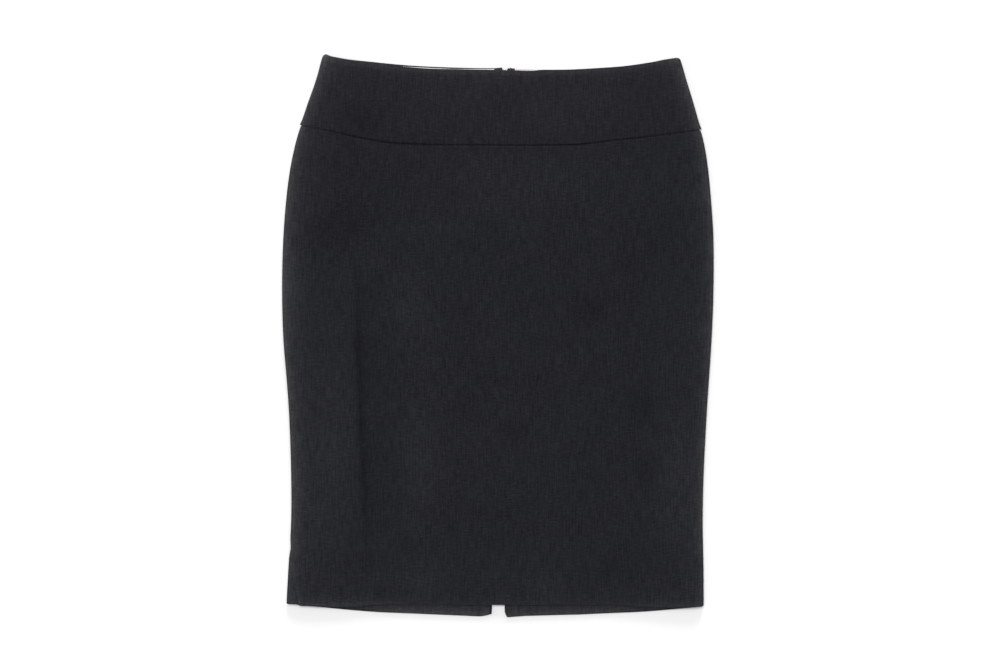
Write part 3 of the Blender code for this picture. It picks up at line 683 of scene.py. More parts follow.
def fold_runs(seam, last_run):
    """Runs of the columns from a side seam: its lip, then even shares of the way to the last run."""
    lip = seam[:, :1] + math.copysign(1, last_run) * LIP_STEPS[None, :]
    shares = (np.arange(FOLD_COLUMNS) + 1)[None, :] / FOLD_COLUMNS
    rest = lip[:, -1:] + (last_run - lip[:, -1:]) * shares
    return np.concatenate([lip, rest], axis=1)


def no_front(x, up):
    """The back ends before the front's crown, so any height does there."""
    return np.full_like(x, CROWN_INSET)


def back_place(side, up, trim):
    """x, height, lean and the distances from both side edges, for every column of a back half."""
    folds = len(LIP_STEPS) + FOLD_COLUMNS
    quarter = math.pi / 2 * ROLL_RADIUS
    seam = side_seam_run(side, up) - SEAM_GAP / 2
    run = fold_runs(seam, -quarter - FLOOR_INSET)
    up_fold, trim_fold = up[:, :folds], trim[:, :folds]
    x, height, lean = fold_spot(side, np.maximum(run, -quarter), up_fold, trim_fold, no_front)
    on_floor = run < -quarter
    flat_x = side * trimmed(half_width(side, up_fold), ROLL_RADIUS - quarter - run, trim_fold)
    x = np.where(on_floor, flat_x, x)
    height = np.where(on_floor, back_lift(x, up_fold), height)
    lean = np.where(on_floor, -math.pi / 2, lean)
    centre = centre_edge(side, up[:, -1:])
    fixed = centre + side * np.concatenate([CENTRE_STEPS, LIP_STEPS[::-1]])[None, :]
    shares = (np.arange(BACK_COLUMNS) + 1)[None, :] / (BACK_COLUMNS + 1)
    open_x = x[:, -1:] + (fixed[:, :1] - x[:, -1:]) * shares
    open_x = np.concatenate([open_x, fixed], axis=1)
    x = np.concatenate([x, open_x], axis=1)
    height = np.concatenate([height, back_lift(open_x, up[:, folds:])], axis=1)
    lean = np.concatenate([lean, np.full_like(open_x, -math.pi / 2)], axis=1)
    from_seam = np.concatenate([np.abs(run - seam[:, :folds]), np.full_like(open_x, FAR_OFF)], axis=1)
    return x, height, lean, from_seam, np.abs(x - centre_edge(side, up))


BACK_COUNT = 2 * len(LIP_STEPS) + FOLD_COLUMNS + BACK_COLUMNS + len(CENTRE_STEPS)


def level_line(up, count):
    return np.full((1, count), float(up))


def back_edge(edge, side, trim):
    """Where each column of a back half ends: columns that have rolled on to the front end with the fold."""
    up = level_line(EDGE_LEVEL[edge], BACK_COUNT)
    x, height, lean = back_place(side, up, np.full_like(up, trim))[:3]
    return edge_up(edge, np.where(lean > 0, side * half_width(side, up), x))[0]


def slit_corner(side):
    """How far the hem rises to the corner of the slit, at each column."""
    up = level_line(EDGE_LEVEL["back_hem"], BACK_COUNT)
    from_centre = back_place(side, up, np.zeros_like(up))[4][0]
    rise, slant = SLIT_CORNER[side]
    return rise * np.clip(1 - from_centre / slant, 0, 1) ** SLIT_CORNER_BEND


def panel_rows(seam_line, hem_line, count):
    """Heights for each column of a panel, and their distances from the seam, the top edge and the hem."""
    up = rows_down(seam_line + ALLOWANCE, hem_line, PANEL_TOP_STEPS, HEM_STEPS, count)
    from_seam = seam_line[None, :] - up
    return up, from_seam, from_seam + ALLOWANCE, up - hem_line[None, :]


def make_back_panel(side, word):
    seam_line = back_edge("yoke_seam", side, PANEL_TUCK) - SEAM_GAP / 2
    hem_line = back_edge("back_hem", side, 0.0) + slit_corner(side)
    up, from_seam, from_top, from_hem = panel_rows(seam_line, hem_line, BACK_ROWS)
    trim = panel_trims(from_seam, from_hem)[0 if side < 0 else 1]
    x, height, lean, from_side, from_centre = back_place(side, up, trim)
    facing = smooth((SLIT_TOP + SLIT_FACING_ABOVE - up) / SLIT_FACING_END)
    facing = folded_in(from_centre, SLIT_FACING) * facing
    thick = panel_thickness(from_seam, np.maximum(folded_in(from_hem, HEM_DEPTH), facing))
    nearest = np.minimum.reduce([from_top, from_hem, from_side, from_centre])
    # Painted light along the fold and the hem, and painted shade along the seam.
    painted_light = fold_painted_light(side, x, up) + back_hem_painted_light(x, from_hem) + seam_painted_shade(x, from_seam)
    # Painted shade along the slit's edges takes the place of the painted light there.
    painted_shade = SLIT_PAINTED_SHADE[side] * hill(from_centre, SLIT_SHADE_REACH)
    painted_light = painted_light * (1 - painted_shade) - SLIT_SHADE_DEPTH * painted_shade
    name, place, stand = f"back_panel_{word}_cloth", (x, height, lean), -seam_sink(x, from_seam)
    return suiting_piece(name, place, up, side, thick, nearest, stand, painted_light)


SIDES = ((-1, "left"), (1, "right"))
for side, word in SIDES:
    piece = make_back_panel(side, word)
    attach(piece, "skirt")
    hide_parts(f"back_panel_{word}")

# ==== Back yokes =====================================================================================
# The shaped band above the back panels, in the same suiting and faced inside, in two halves that part
# in a small V above the zip slider. Its lower edge stands a little above the panels' seam.

YOKE_PROUD = 0.4
YOKE_INSET = 0.8
YOKE_INSET_RUN = 25.0
YOKE_STEP = 0.4
YOKE_STEP_FADE = 4.0
YOKE_CLOTH = 1.3
WAIST_PLIES = 2.0
WAIST_TURNING = 7.0
WAIST_STEP = 2.0
WAIST_CORNER = 2.6
# Painted light along the turned waist edge: a close rim, a wide band and how far they reach.
WAIST_PAINTED_LIGHT = (1.05, 0.46, 0.65)

# The grid of a yoke, from its waist edge and from its foot.
BACK_YOKE_ROWS = 18
YOKE_TOP_STEPS = np.array([1.5, 2.2, 3.2, 4.2, 5.2, 6.2, 7.2, 8.2, 9.5, 11, 13])
YOKE_TOP_STEPS = np.concatenate([round_steps(WAIST_PLIES / 2, 6), YOKE_TOP_STEPS])
YOKE_FOOT_STEPS = np.concatenate([round_steps(YOKE_CLOTH / 2), np.array([1.0, 1.6, 2.4, 3.6])])


def yoke_trim(from_waist, from_seam):
    """Rounded corners at the waist, and a foot that stands out over the panel."""
    foot = (YOKE_INSET + YOKE_STEP) * np.exp(-np.maximum(from_seam, 0) / YOKE_STEP_FADE)
    return rounding(from_waist, WAIST_CORNER) + YOKE_INSET * smooth(from_waist / YOKE_INSET_RUN) - foot


def yoke_thickness(from_waist):
    """The turned-in waist edge is thicker than the rest."""
    return YOKE_CLOTH + (WAIST_PLIES - YOKE_CLOTH) * folded_in(from_waist, WAIST_TURNING, WAIST_STEP)


def proud_of(lean, proud):
    """A thicker piece stands out on the front and the fold, and lies level underneath."""
    return proud * np.minimum(1 + np.sin(lean), 1.0)


def waist_painted_light(from_waist):
    """Painted light along the turned waist edge, and painted shade at its very edge."""
    return painted_edge_light(from_waist, *WAIST_PAINTED_LIGHT) * light_kept_at_edge(from_waist)


def yoke_rows(waist_line, seam_line, count):
    """Heights for each column of a yoke, their distances from both edges and how far it is trimmed."""
    up = rows_down(waist_line, seam_line, YOKE_TOP_STEPS, YOKE_FOOT_STEPS, count)
    from_waist, from_seam = waist_line[None, :] - up, up - seam_line[None, :]
    return up, from_waist, from_seam, yoke_trim(from_waist, from_seam)


def make_back_yoke(side, word):
    waist_line = back_edge("back_waist", side, 0.0)
    seam_line = back_edge("yoke_seam", side, -YOKE_STEP) + SEAM_GAP / 2
    up, from_waist, from_seam, trim = yoke_rows(waist_line, seam_line, BACK_YOKE_ROWS)
    x, height, lean, from_side, from_centre = back_place(side, up, trim)
    proud = proud_of(lean, YOKE_PROUD)
    thick = yoke_thickness(from_waist) + proud
    nearest = np.minimum.reduce([from_waist, from_seam, from_side, from_centre])
    # Painted light along the fold and the waist edge, and painted shade along the seam.
    painted_light = fold_painted_light(side, x, up) + waist_painted_light(from_waist) + seam_painted_shade(x, from_seam)
    name, place = f"back_yoke_{word}_cloth", (x, height, lean)
    return suiting_piece(name, place, up, side, thick, nearest, proud, painted_light)


for side, word in SIDES:
    piece = make_back_yoke(side, word)
    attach(piece, "skirt")
    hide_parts(f"back_yoke_{word}")

# ==== Zip tapes and their coil =======================================================================
# A dark woven tape lies along each side of the centre-back opening, sewn to the inside. Its end stands
# just above the waist, and a moulded nylon coil runs down its inner edge.

TAPE_THICK = 0.5
TAPE_PROUD = {-1: (0.75, -0.1), 1: (0.9, -0.9)}
TAPE_OUTER = {-1: 11.0, 1: 10.4}
TAPE_INNER_TOP = {-1: 2.7, 1: 5.7}
TAPE_INNER = 0.6
TAPE_CLOSE_FROM = 15.0
TAPE_CLOSE_OVER = 9.0
TAPE_TOP_EASE = 12.0
TAPE_FINE_TO = 24.0
TAPE_FINE_STEP = 0.6
TAPE_STEP = 2.4
TAPE_COLUMNS = 9
TAPE_LIP_PARTS = 3
TAPE_SEAL = 2.0
STRIP_CLEAR = 0.05
ZIP_LENGTH = 190.0
COIL_PITCH = 1.1
COIL_THICK = 0.38
COIL_ENDS = (1.5, 3.0)
COIL_FROM_TAPE = 0.15
COIL_ABOVE_BACK = 0.62
COIL_SHIFT = (-0.5, 0.0, 0.0)
COIL_BENDS = (
    (0.0, 0.0, 0.0),
    (0.55, 0.1, 0.35),
    (1.05, 0.2, 0.45),
    (1.35, 0.28, 0.0),
    (1.05, 0.36, -0.45),
    (0.55, 0.46, -0.35),
    (0.0, 0.55, 0.0),
)


def back_top(x, up):
    """The inner face of the back: thick at the waist edge and where the yoke seam is turned in."""
    from_waist = edge_up("back_waist", x) - up
    from_seam = up - edge_up("yoke_seam", x)
    at_waist = folded_in(from_waist, WAIST_TURNING, WAIST_STEP)
    at_seam = 1 - smooth((np.abs(from_seam - ALLOWANCE / 2) - ALLOWANCE / 2) / 2)
    plain = CLOTH + (YOKE_CLOTH - CLOTH) * smooth(from_seam)
    return back_lift(x, up) + np.maximum(plain, WAIST_PLIES * np.maximum(at_waist, at_seam))


def flat_strip(name, x, up, thick, nearest, material, marks=None):
    """A thin strip that lies on the inner face of the back."""
    height = back_top(x, up) + STRIP_CLEAR + thick
    lean, thick = np.full_like(x, math.pi / 2), np.full_like(x, thick)
    return sewn_wall(name, x, up, height, lean, 1, thick, nearest, material, marks)


HERRINGBONE = 0.0012
TAPE_RIB = 0.0006
TAPE_BUMP = (0.5, 0.00012)
TAPE_GRAIN = Grain(0.0006, 0.0012, 2.0, 3.0)
TAPE_DARK = (0.016, 0.0155, 0.0175, 1)
TAPE_SEALED = (0.045, 0.022, 0.017, 1)
NYLON_DARK = (0.010, 0.010, 0.011, 1)
NYLON_RUBBED = (0.024, 0.023, 0.024, 1)


def ribs(tree, way, pitch):
    return maths(tree, "SINE", maths(tree, "MULTIPLY", way, math.tau / pitch))


def woven_tape():
    """Dark herringbone tape, a little brown where it is cut and sealed at the end."""
    made, tree, shader = new_finish("zip_tape_woven")
    u, v = cloth_ways(tree)
    slant = ribs(tree, maths(tree, "ADD", v, maths(tree, "PINGPONG", u, HERRINGBONE)), TAPE_RIB)
    straight = maths(tree, "MULTIPLY", ribs(tree, u, TAPE_RIB), 0.3)
    relief = maths(tree, "MULTIPLY_ADD", slant, 0.7, straight)
    shade = maths(tree, "ADD", grain_noise(tree, u, v, TAPE_GRAIN), 0.5)
    # The ribs' relief is painted into the colour too: painted shade in the hollows between the ribs.
    shade = maths(tree, "MULTIPLY_ADD", relief, 0.2, shade)
    sealed = add_node(tree, "ShaderNodeAttribute", attribute_name="sealed").outputs["Fac"]
    looks = {
        "Base Color": shaded(tree, blend(tree, sealed, TAPE_DARK, TAPE_SEALED), shade),
        "Normal": raised(tree, relief, *TAPE_BUMP),
        "Roughness": 0.8,
        "Specular IOR Level": 0.3,
    }
    give(tree, shader, looks)
    return made


def clouds(tree, scale, detail):
    """Noise that stays where it is on the piece."""
    place = add_node(tree, "ShaderNodeTexCoord").outputs["Object"]
    sockets = {"Vector": place, "Scale": scale, "Detail": detail}
    return add_node(tree, "ShaderNodeTexNoise", sockets).outputs["Fac"]


def between(tree, share, low, high):
    return add_node(tree, "ShaderNodeMapRange", {"Value": share, 3: low, 4: high}).outputs[0]


def moulded_nylon():
    """Black nylon coil with a faint gloss, duller in scattered patches."""
    made, tree, shader = new_finish("zip_coil_nylon")
    rubbed = clouds(tree, 900.0, 3.0)
    looks = {
        "Base Color": blend(tree, rubbed, NYLON_DARK, NYLON_RUBBED),
        "Roughness": between(tree, rubbed, 0.32, 0.5),
    }
    give(tree, shader, looks)
    return made


tape_cloth = woven_tape()
nylon = moulded_nylon()


def tape_inner(side, below):
    """How far the tape's inner edge is from the centre, this far below its top end."""
    closing = smooth((below - TAPE_CLOSE_FROM) / TAPE_CLOSE_OVER)
    return TAPE_INNER_TOP[side] + (TAPE_INNER - TAPE_INNER_TOP[side]) * closing


def make_tape(side, word):
    outer = TAPE_OUTER[side]
    lip = round_steps(TAPE_THICK / 2, TAPE_LIP_PARTS)
    fine = np.arange(TAPE_FINE_STEP, TAPE_FINE_TO, TAPE_FINE_STEP)
    coarse = np.arange(TAPE_FINE_TO, ZIP_LENGTH, TAPE_STEP)
    from_end = np.concatenate([lip, fine, coarse, ZIP_LENGTH - lip[::-1]])[:, None]
    inner = tape_inner(side, from_end)
    shares = np.linspace(0, 1, TAPE_COLUMNS)[1:-1]
    foot = outer - np.broadcast_to(lip[::-1], (len(from_end), len(lip)))
    across = np.concatenate([inner + lip, inner + (outer - inner) * shares, foot], axis=1)
    x = CENTRE_BACK + side * across
    proud_inner, proud_outer = TAPE_PROUD[side]
    proud = proud_inner + (proud_outer - proud_inner) * (across - inner) / (outer - inner)
    ease = 1 - smooth(from_end / TAPE_TOP_EASE)
    top = edge_up("back_waist", CENTRE_BACK + side * outer) + proud * ease
    up = top - from_end
    from_end = np.minimum(from_end, ZIP_LENGTH - from_end)
    nearest = np.minimum.reduce(np.broadcast_arrays(across - inner, outer - across, from_end))
    if side < 0:
        x, up, across, nearest = (part[:, ::-1] for part in (x, up, across, nearest))
    marks = {"sealed": np.exp(-np.maximum(up.max() - up, 0) / TAPE_SEAL)}
    return flat_strip(f"zip_tape_{word}_woven", x, up, TAPE_THICK, nearest, tape_cloth, marks)


def drawn_line(name, points):
    """A line through these points, as an object."""
    curve = bpy.data.curves.new(name, "CURVE")
    curve.dimensions = "3D"
    line = curve.splines.new("POLY")
    line.points.add(len(points) - 1)
    line.points.foreach_set("co", np.column_stack([points * MM, np.ones(len(points))]).ravel())
    return put_in_scene(name, curve)


def made_solid(name, drawn):
    """A drawn object's finished mesh, in its place."""
    mesh = bpy.data.meshes.new_from_object(drawn.evaluated_get(bpy.context.evaluated_depsgraph_get()))
    bpy.data.objects.remove(drawn)
    return put_in_scene(name, mesh)


def bent_thread(name, bends, thick):
    """A short round thread through these bends, kept out of sight and copied."""
    drawn = drawn_line(name + "_line", np.array(bends))
    drawn.data.bevel_depth = thick / 2 * MM
    drawn.data.bevel_resolution = 1
    drawn.data.use_fill_caps = True
    shape = made_solid(name, drawn)
    shape.hide_render = True
    return shape


def repeat_along(name, points, shape, pitch, material, shift=(0.0, 0.0, 0.0), seed=0, uneven=0.0):
    """A mesh of copies of a shape set at even steps along a line, made by Geometry Nodes."""
    holder = drawn_line(name + "_line", points)
    tree = bpy.data.node_groups.new(name + "_tree", "GeometryNodeTree")
    inputs = {
        "Line": ("NodeSocketGeometry", None),
        "Step": ("NodeSocketFloat", pitch * MM),
        "Shift": ("NodeSocketVector", [part * MM for part in shift]),
        "Uneven": ("NodeSocketFloat", uneven),
        "Seed": ("NodeSocketInt", seed),
        "Shape": ("NodeSocketObject", shape),
        "Finish": ("NodeSocketMaterial", material),
    }
    sockets = {}
    for word, (kind, value) in inputs.items():
        sockets[word] = tree.interface.new_socket(word, in_out="INPUT", socket_type=kind).identifier
    tree.interface.new_socket("Copies", in_out="OUTPUT", socket_type="NodeSocketGeometry")
    given = tree.nodes.new("NodeGroupInput").outputs
    line = {"Curve": given["Line"], "Length": given["Step"]}
    spots = add_node(tree, "GeometryNodeCurveToPoints", line, mode="LENGTH").outputs
    tangent = {"Vector": spots["Tangent"]}
    turn = add_node(tree, "FunctionNodeAlignRotationToVector", tangent, axis="Y", pivot_axis="Z")
    ends = {"Min": (-1.0, -1.0, -1.0), "Max": (1.0, 1.0, 1.0), "Seed": given["Seed"]}
    wobble = add_node(tree, "FunctionNodeRandomValue", ends, data_type="FLOAT_VECTOR")
    wobble = shaded(tree, wobble.outputs["Value"], given["Uneven"])
    seen = add_node(tree, "GeometryNodeObjectInfo", {"Object": given["Shape"]}).outputs["Geometry"]
    copies = {"Points": spots["Points"], "Instance": seen, "Rotation": turn.outputs[0]}
    copies = add_node(tree, "GeometryNodeInstanceOnPoints", copies).outputs[0]
    copies = {"Instances": copies, "Translation": given["Shift"], "Local Space": True}
    copies = add_node(tree, "GeometryNodeTranslateInstances", copies).outputs[0]
    copies = {"Instances": copies, "Rotation": wobble}
    copies = add_node(tree, "GeometryNodeRotateInstances", copies).outputs[0]
    real = add_node(tree, "GeometryNodeRealizeInstances", {0: copies}).outputs[0]
    real = {"Geometry": real, "Material": given["Finish"]}
    real = add_node(tree, "GeometryNodeSetMaterial", real).outputs[0]
    tree.links.new(real, tree.nodes.new("NodeGroupOutput").inputs[0])
    change = holder.modifiers.new("repeat", "NODES")
    change.node_group = tree
    for word, (kind, value) in inputs.items():
        if value is not None:
            change[sockets[word]] = value
    bpy.context.view_layer.update()
    return made_solid(name, holder)


turn_of_coil = bent_thread("coil_turn", COIL_BENDS, COIL_THICK)
for side, word in SIDES:
    tape = make_tape(side, word)
    below = np.linspace(COIL_ENDS[0], ZIP_LENGTH - COIL_ENDS[1], 240)
    if side > 0:
        below = below[::-1]
    up = edge_up("back_waist", CENTRE_BACK) - below - (COIL_PITCH / 2 if side > 0 else 0.0)
    x = CENTRE_BACK + side * (tape_inner(side, below) + COIL_FROM_TAPE)
    height = back_top(x, up) + TAPE_THICK + COIL_ABOVE_BACK
    points = np.column_stack([x, up, height])
    coil = repeat_along(f"zip_coil_{word}", points, turn_of_coil, COIL_PITCH, nylon, COIL_SHIFT)
    for piece in (tape, coil):
        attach(piece, "skirt")
    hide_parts(f"zip_tape_{word}")
bpy.data.objects.remove(turn_of_coil)

# ==== Slider and pull tab ============================================================================
# Die-cast zinc in dark enamel. The slider sits closed between the coils, just below the waist, and its
# teardrop tab hangs from a pin outside the back. The enamel is rubbed in scattered patches.


ENAMEL_DARK = (0.022, 0.020, 0.022, 1)
ENAMEL_RUBBED = (0.16, 0.14, 0.125, 1)
ENAMEL_BUMP = (0.25, 0.00004)
RUBBED_SHARE = (5.0, -3.2)


def dark_enamel():
    made, tree, shader = new_finish("dark_enamel_worn")
    fine = clouds(tree, 2600.0, 3.0)
    rubbed = maths(tree, "MULTIPLY_ADD", clouds(tree, 260.0, 4.0), *RUBBED_SHARE, clamp=True)
    looks = {
        "Base Color": blend(tree, rubbed, ENAMEL_DARK, ENAMEL_RUBBED),
        "Roughness": between(tree, fine, 0.28, 0.5),
        "Normal": raised(tree, fine, *ENAMEL_BUMP),
        "Metallic": 0.25,
        "Coat Weight": 0.35,
        "Coat Roughness": 0.2,
    }
    give(tree, shader, looks)
    return made


enamel = dark_enamel()
for word in ("zip_slider", "zip_pull"):
    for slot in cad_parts[word].material_slots:
        slot.material = enamel

# ==== Back waist facings =============================================================================
# Pale satin strips sewn inside the back waist edge and turned down. A narrow line of them shows above
# the front's waist edge, and a row of understitching holds each flat.

FACING_DEPTH = 40.0
FACING_THICK = 0.5
FACING_FROM_CENTRE = {-1: 11.4, 1: 10.9}
FACING_FROM_SIDE = 18.0
FACING_DROP = {-1: (0.98, 0.0062), 1: (0.1, 0.0)}
FACING_SAG = 0.34
FACING_SAG_AT = -53.0
FACING_SAG_REACH = 30.0
FACING_COLUMNS = 70
FACING_STEP = 1.5
UNDERSTITCH_BELOW = 1.9
UNDERSTITCH_START = 2.0
UNDERSTITCH_END = 168.0
UNDERSTITCH_RISE = 0.12
STITCH_PITCH = 2.6
STITCH_LENGTH = 2.0
STITCH_THICK = 0.28
STITCH_DIPS = ((-0.5, -0.9), (-0.36, 0.1), (0.0, 0.35), (0.36, 0.1), (0.5, -0.9))
SATIN_FLOAT = 0.00022
SATIN_BUMP = (0.3, 0.00005)
SATIN_STREAK = Grain(0.0004, 0.012, 3.0, 1.0)
SATIN_CLOUD = Grain(0.014, 0.009, 2.0, 9.0)
SATIN_DEEP = (0.54, 0.49, 0.49, 1)
SATIN_PALE = (0.75, 0.71, 0.71, 1)
THREAD_PALE = (0.55, 0.51, 0.50)


def pale_satin():
    """Pinkish-grey satin: long floats across the strip give a soft streaked sheen."""
    made, tree, shader = new_finish("pale_satin_cloth")
    u, v = cloth_ways(tree)
    streak = grain_noise(tree, u, v, SATIN_STREAK)
    both = maths(tree, "MULTIPLY", streak, 0.4)
    both = maths(tree, "MULTIPLY_ADD", grain_noise(tree, u, v, SATIN_CLOUD), 0.6, both)
    relief = maths(tree, "MULTIPLY_ADD", ribs(tree, u, SATIN_FLOAT), 0.3, streak)
    looks = {
        "Base Color": blend(tree, both, SATIN_DEEP, SATIN_PALE),
        "Normal": raised(tree, relief, *SATIN_BUMP),
        "Roughness": 0.42,
        "Sheen Weight": 0.15,
        "Anisotropic": 0.5,
    }
    give(tree, shader, looks)
    return made


def sewing_thread(name, colour):
    """Twisted polyester thread."""
    made, tree, shader = new_finish(name)
    place = add_node(tree, "ShaderNodeTexCoord").outputs["Object"]
    wave = {"Vector": place, "Scale": 2200.0, "Distortion": 1.0}
    twist = add_node(tree, "ShaderNodeTexWave", wave, bands_direction="DIAGONAL").outputs["Fac"]
    shade = maths(tree, "MULTIPLY_ADD", twist, 0.5, 0.6)
    give(tree, shader, {"Base Color": shaded(tree, colour, shade), "Roughness": 0.6})
    return made


def facing_drop(side, x):
    """How far the strip's top lies below the waist edge, this far across."""
    start, slant = FACING_DROP[side]
    return start + slant * np.abs(x - CENTRE_BACK) + FACING_SAG * bell(x - FACING_SAG_AT, FACING_SAG_REACH)


satin = pale_satin()
pale_thread = sewing_thread("pale_thread", THREAD_PALE)


def make_facing(side, word):
    lip = round_steps(FACING_THICK / 2, TAPE_LIP_PARTS)
    start = FACING_FROM_CENTRE[side] + side * CENTRE_BACK
    end = half_width(side, EDGE_LEVEL["back_waist"]) - FACING_FROM_SIDE
    middle = np.linspace(start + FACING_STEP, end - FACING_STEP, FACING_COLUMNS)
    across = np.concatenate([start + lip, middle, end - lip[::-1]])
    down = np.concatenate([lip, np.arange(1, FACING_DEPTH - 1, FACING_STEP), FACING_DEPTH - lip[::-1]])
    if side < 0:
        across = across[::-1]
    x = side * np.broadcast_to(across, (len(down), len(across)))
    down = np.broadcast_to(down[:, None], x.shape)
    up = edge_up("back_waist", x) - facing_drop(side, x) - down
    from_side = np.minimum(across - start, end - across)[None, :]
    nearest = np.minimum.reduce(np.broadcast_arrays(from_side, down, FACING_DEPTH - down))
    return flat_strip(f"back_facing_{word}_satin", x, up, FACING_THICK, nearest, satin)


bends = [(0.0, place * STITCH_LENGTH, rise * STITCH_THICK / 2) for place, rise in STITCH_DIPS]
understitch = bent_thread("understitch", bends, STITCH_THICK)
for side, word in SIDES:
    facing = make_facing(side, word)
    start = FACING_FROM_CENTRE[side] + UNDERSTITCH_START + side * CENTRE_BACK
    x = side * np.linspace(start, UNDERSTITCH_END, 90)
    up = edge_up("back_waist", x) - facing_drop(side, x) - UNDERSTITCH_BELOW
    points = np.column_stack([x, up, back_top(x, up) + FACING_THICK + UNDERSTITCH_RISE])
    name, look = f"understitch_{word}", {"seed": 3 + side, "uneven": 0.05}
    row = repeat_along(name, points, understitch, STITCH_PITCH, pale_thread, **look)
    for piece in (facing, row):
        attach(piece, "skirt")
    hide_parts(f"back_facing_{word}")
bpy.data.objects.remove(understitch)

# ==== Front panel ====================================================================================
# One panel of the same suiting lies over the back, from the yoke seam to a hem turned up 35 mm. It
# rolls over both side folds, and a long soft crease steps down from its left side.

Crease = namedtuple("Crease", "up x share")
CREASE = (
    Crease(-303.0, -137.5, 0.0),
    Crease(-262.0, -138.0, 0.0),
    Crease(-238.0, -138.5, 0.25),
    Crease(-206.0, -139.5, 0.5),
    Crease(-173.0, -142.5, 0.75),
    Crease(-141.0, -144.0, 0.95),
    Crease(-108.0, -146.1, 1.0),
    Crease(-17.0, -150.8, 1.0),
    Crease(37.0, -152.0, 0.5),
    Crease(70.0, -155.0, 0.2),
    Crease(102.0, -159.5, 0.05),
    Crease(140.0, -160.0, 0.0),
    Crease(215.0, -148.0, 0.0),
    Crease(303.0, -128.0, 0.0),
)
CREASE_STEP = 2.3
CREASE_HALF_WIDTH = 1.6
CREASE_BEFORE = 1.5
# Painted shade along the crease and a band of it at its foot; then its shoulder, tail and toe.
CREASE_PAINTED_SHADE = 0.18
CREASE_SHADE_RUN = 10.0
CREASE_FOOT_SHADE = 0.20
CREASE_FOOT_AT = 2.2
CREASE_FOOT_HALF = 3.6
CREASE_SHOULDER = 0.25
CREASE_SHOULDER_AT = -9.0
CREASE_SHOULDER_HALF = 7.0
CREASE_TAIL = 1.5
CREASE_TAIL_RUN = 13.0
CREASE_TOE = 0.85
CREASE_TOE_AT = 34.0
CREASE_TOE_RUN = 38.0

SWELLS = (
    Swell(-15.0, 150.0, 15.0, 60.0, 26.0, -0.45),
    Swell(40.0, 110.0, 80.0, 90.0, 40.0, 0.70),
    Swell(120.0, 34.0, -25.0, 80.0, 26.0, -0.50),
    Swell(160.0, -65.0, 60.0, 90.0, 30.0, -0.45),
    Swell(-85.0, -60.0, 85.0, 130.0, 34.0, 0.60),
    Swell(60.0, -160.0, 75.0, 120.0, 40.0, 0.65),
    Swell(-40.0, -225.0, 20.0, 70.0, 22.0, -0.35),
    Swell(120.0, 165.0, -40.0, 70.0, 24.0, 0.45),
)

# Patches of painted light and painted shade on the front.
PAINTED_LIGHT_PATCHES = (
    Swell(22.0, 252.0, 0.0, 100.0, 26.0, 0.26),
    Swell(34.0, 166.0, 0.0, 105.0, 36.0, 0.16),
    Swell(-94.0, 38.0, 90.0, 34.0, 24.0, 0.25),
    Swell(-80.0, -134.0, 90.0, 66.0, 20.0, 0.26),
    Swell(-174.0, -128.0, 90.0, 105.0, 26.0, 0.27),
    Swell(-222.0, 65.0, 90.0, 62.0, 12.0, 0.18),
    Swell(-79.0, -270.0, 0.0, 20.0, 16.0, 0.22),
    Swell(57.0, -270.0, 0.0, 20.0, 14.0, 0.18),
    Swell(197.0, -165.0, 90.0, 72.0, 20.0, 0.22),
    Swell(-214.0, -284.0, 90.0, 12.0, 6.0, 0.45),
    Swell(-149.0, 230.0, 0.0, 22.0, 15.0, -0.22),
    Swell(-170.0, 116.0, 20.0, 44.0, 22.0, -0.24),
    Swell(160.0, 110.0, 60.0, 60.0, 24.0, -0.12),
    Swell(97.0, 28.0, 10.0, 22.0, 14.0, -0.26),
    Swell(161.0, -75.0, 70.0, 20.0, 15.0, -0.24),
    Swell(160.0, -143.0, 70.0, 20.0, 14.0, -0.22),
    Swell(140.0, -247.0, 10.0, 36.0, 14.0, -0.16),
    Swell(21.0, -108.0, 0.0, 16.0, 14.0, -0.16),
)
CROWN_SETTLE = 70.0
SWELL_OVER_ZIP = 3.6
SWELL_HALF_WIDTH = 46.0
SWELL_HALF_LENGTH = 48.0


def crease_height(x, up):
    """A steep step down to the right, a tail that runs out below it and a shallow hollow beyond."""
    beyond = x - along(CREASE, "x", up)
    share = np.maximum(along(CREASE, "share", up), 0.0)
    step = CREASE_STEP * 0.5 * (1 - np.tanh((beyond + CREASE_BEFORE) / CREASE_HALF_WIDTH))
    shoulder = CREASE_SHOULDER * hill(beyond - CREASE_SHOULDER_AT, CREASE_SHOULDER_HALF)
    tail = CREASE_TAIL * np.exp(-np.maximum(beyond, 0) / CREASE_TAIL_RUN)
    toe = CREASE_TOE * hill(beyond - CREASE_TOE_AT, CREASE_TOE_RUN)
    return share * (step + shoulder + tail - toe)


def crease_painted_shade(x, up):
    """Painted shade along the crease: most at its foot, easing off along its tail."""
    beyond = x - along(CREASE, "x", up)
    share = np.maximum(along(CREASE, "share", up), 0.0)
    run = np.where(beyond > 0, CREASE_SHADE_RUN, CREASE_HALF_WIDTH)
    foot = CREASE_FOOT_SHADE * hill(beyond - CREASE_FOOT_AT, CREASE_FOOT_HALF)
    return -share * (CREASE_PAINTED_SHADE * np.exp(-np.abs(beyond) / run) + foot)


def front_height(x, up):
    """The top of the front between the two side rolls."""
    middle = along(HEIGHTS, "middle", up) + crease_height(x, up) + ovals(SWELLS, x, up)
    middle = middle + SWELL_OVER_ZIP * zip_bell(x, up, SWELL_HALF_WIDTH, SWELL_HALF_LENGTH)
    near_left = 1 - smooth((x + half_width(-1, up) - CROWN_INSET) / CROWN_SETTLE)
    near_right = 1 - smooth((half_width(1, up) - x - CROWN_INSET) / CROWN_SETTLE)
    left = along(HEIGHTS, "crown_left", up)
    right = along(HEIGHTS, "crown_right", up)
    return middle * (1 - near_left - near_right) + left * near_left + right * near_right


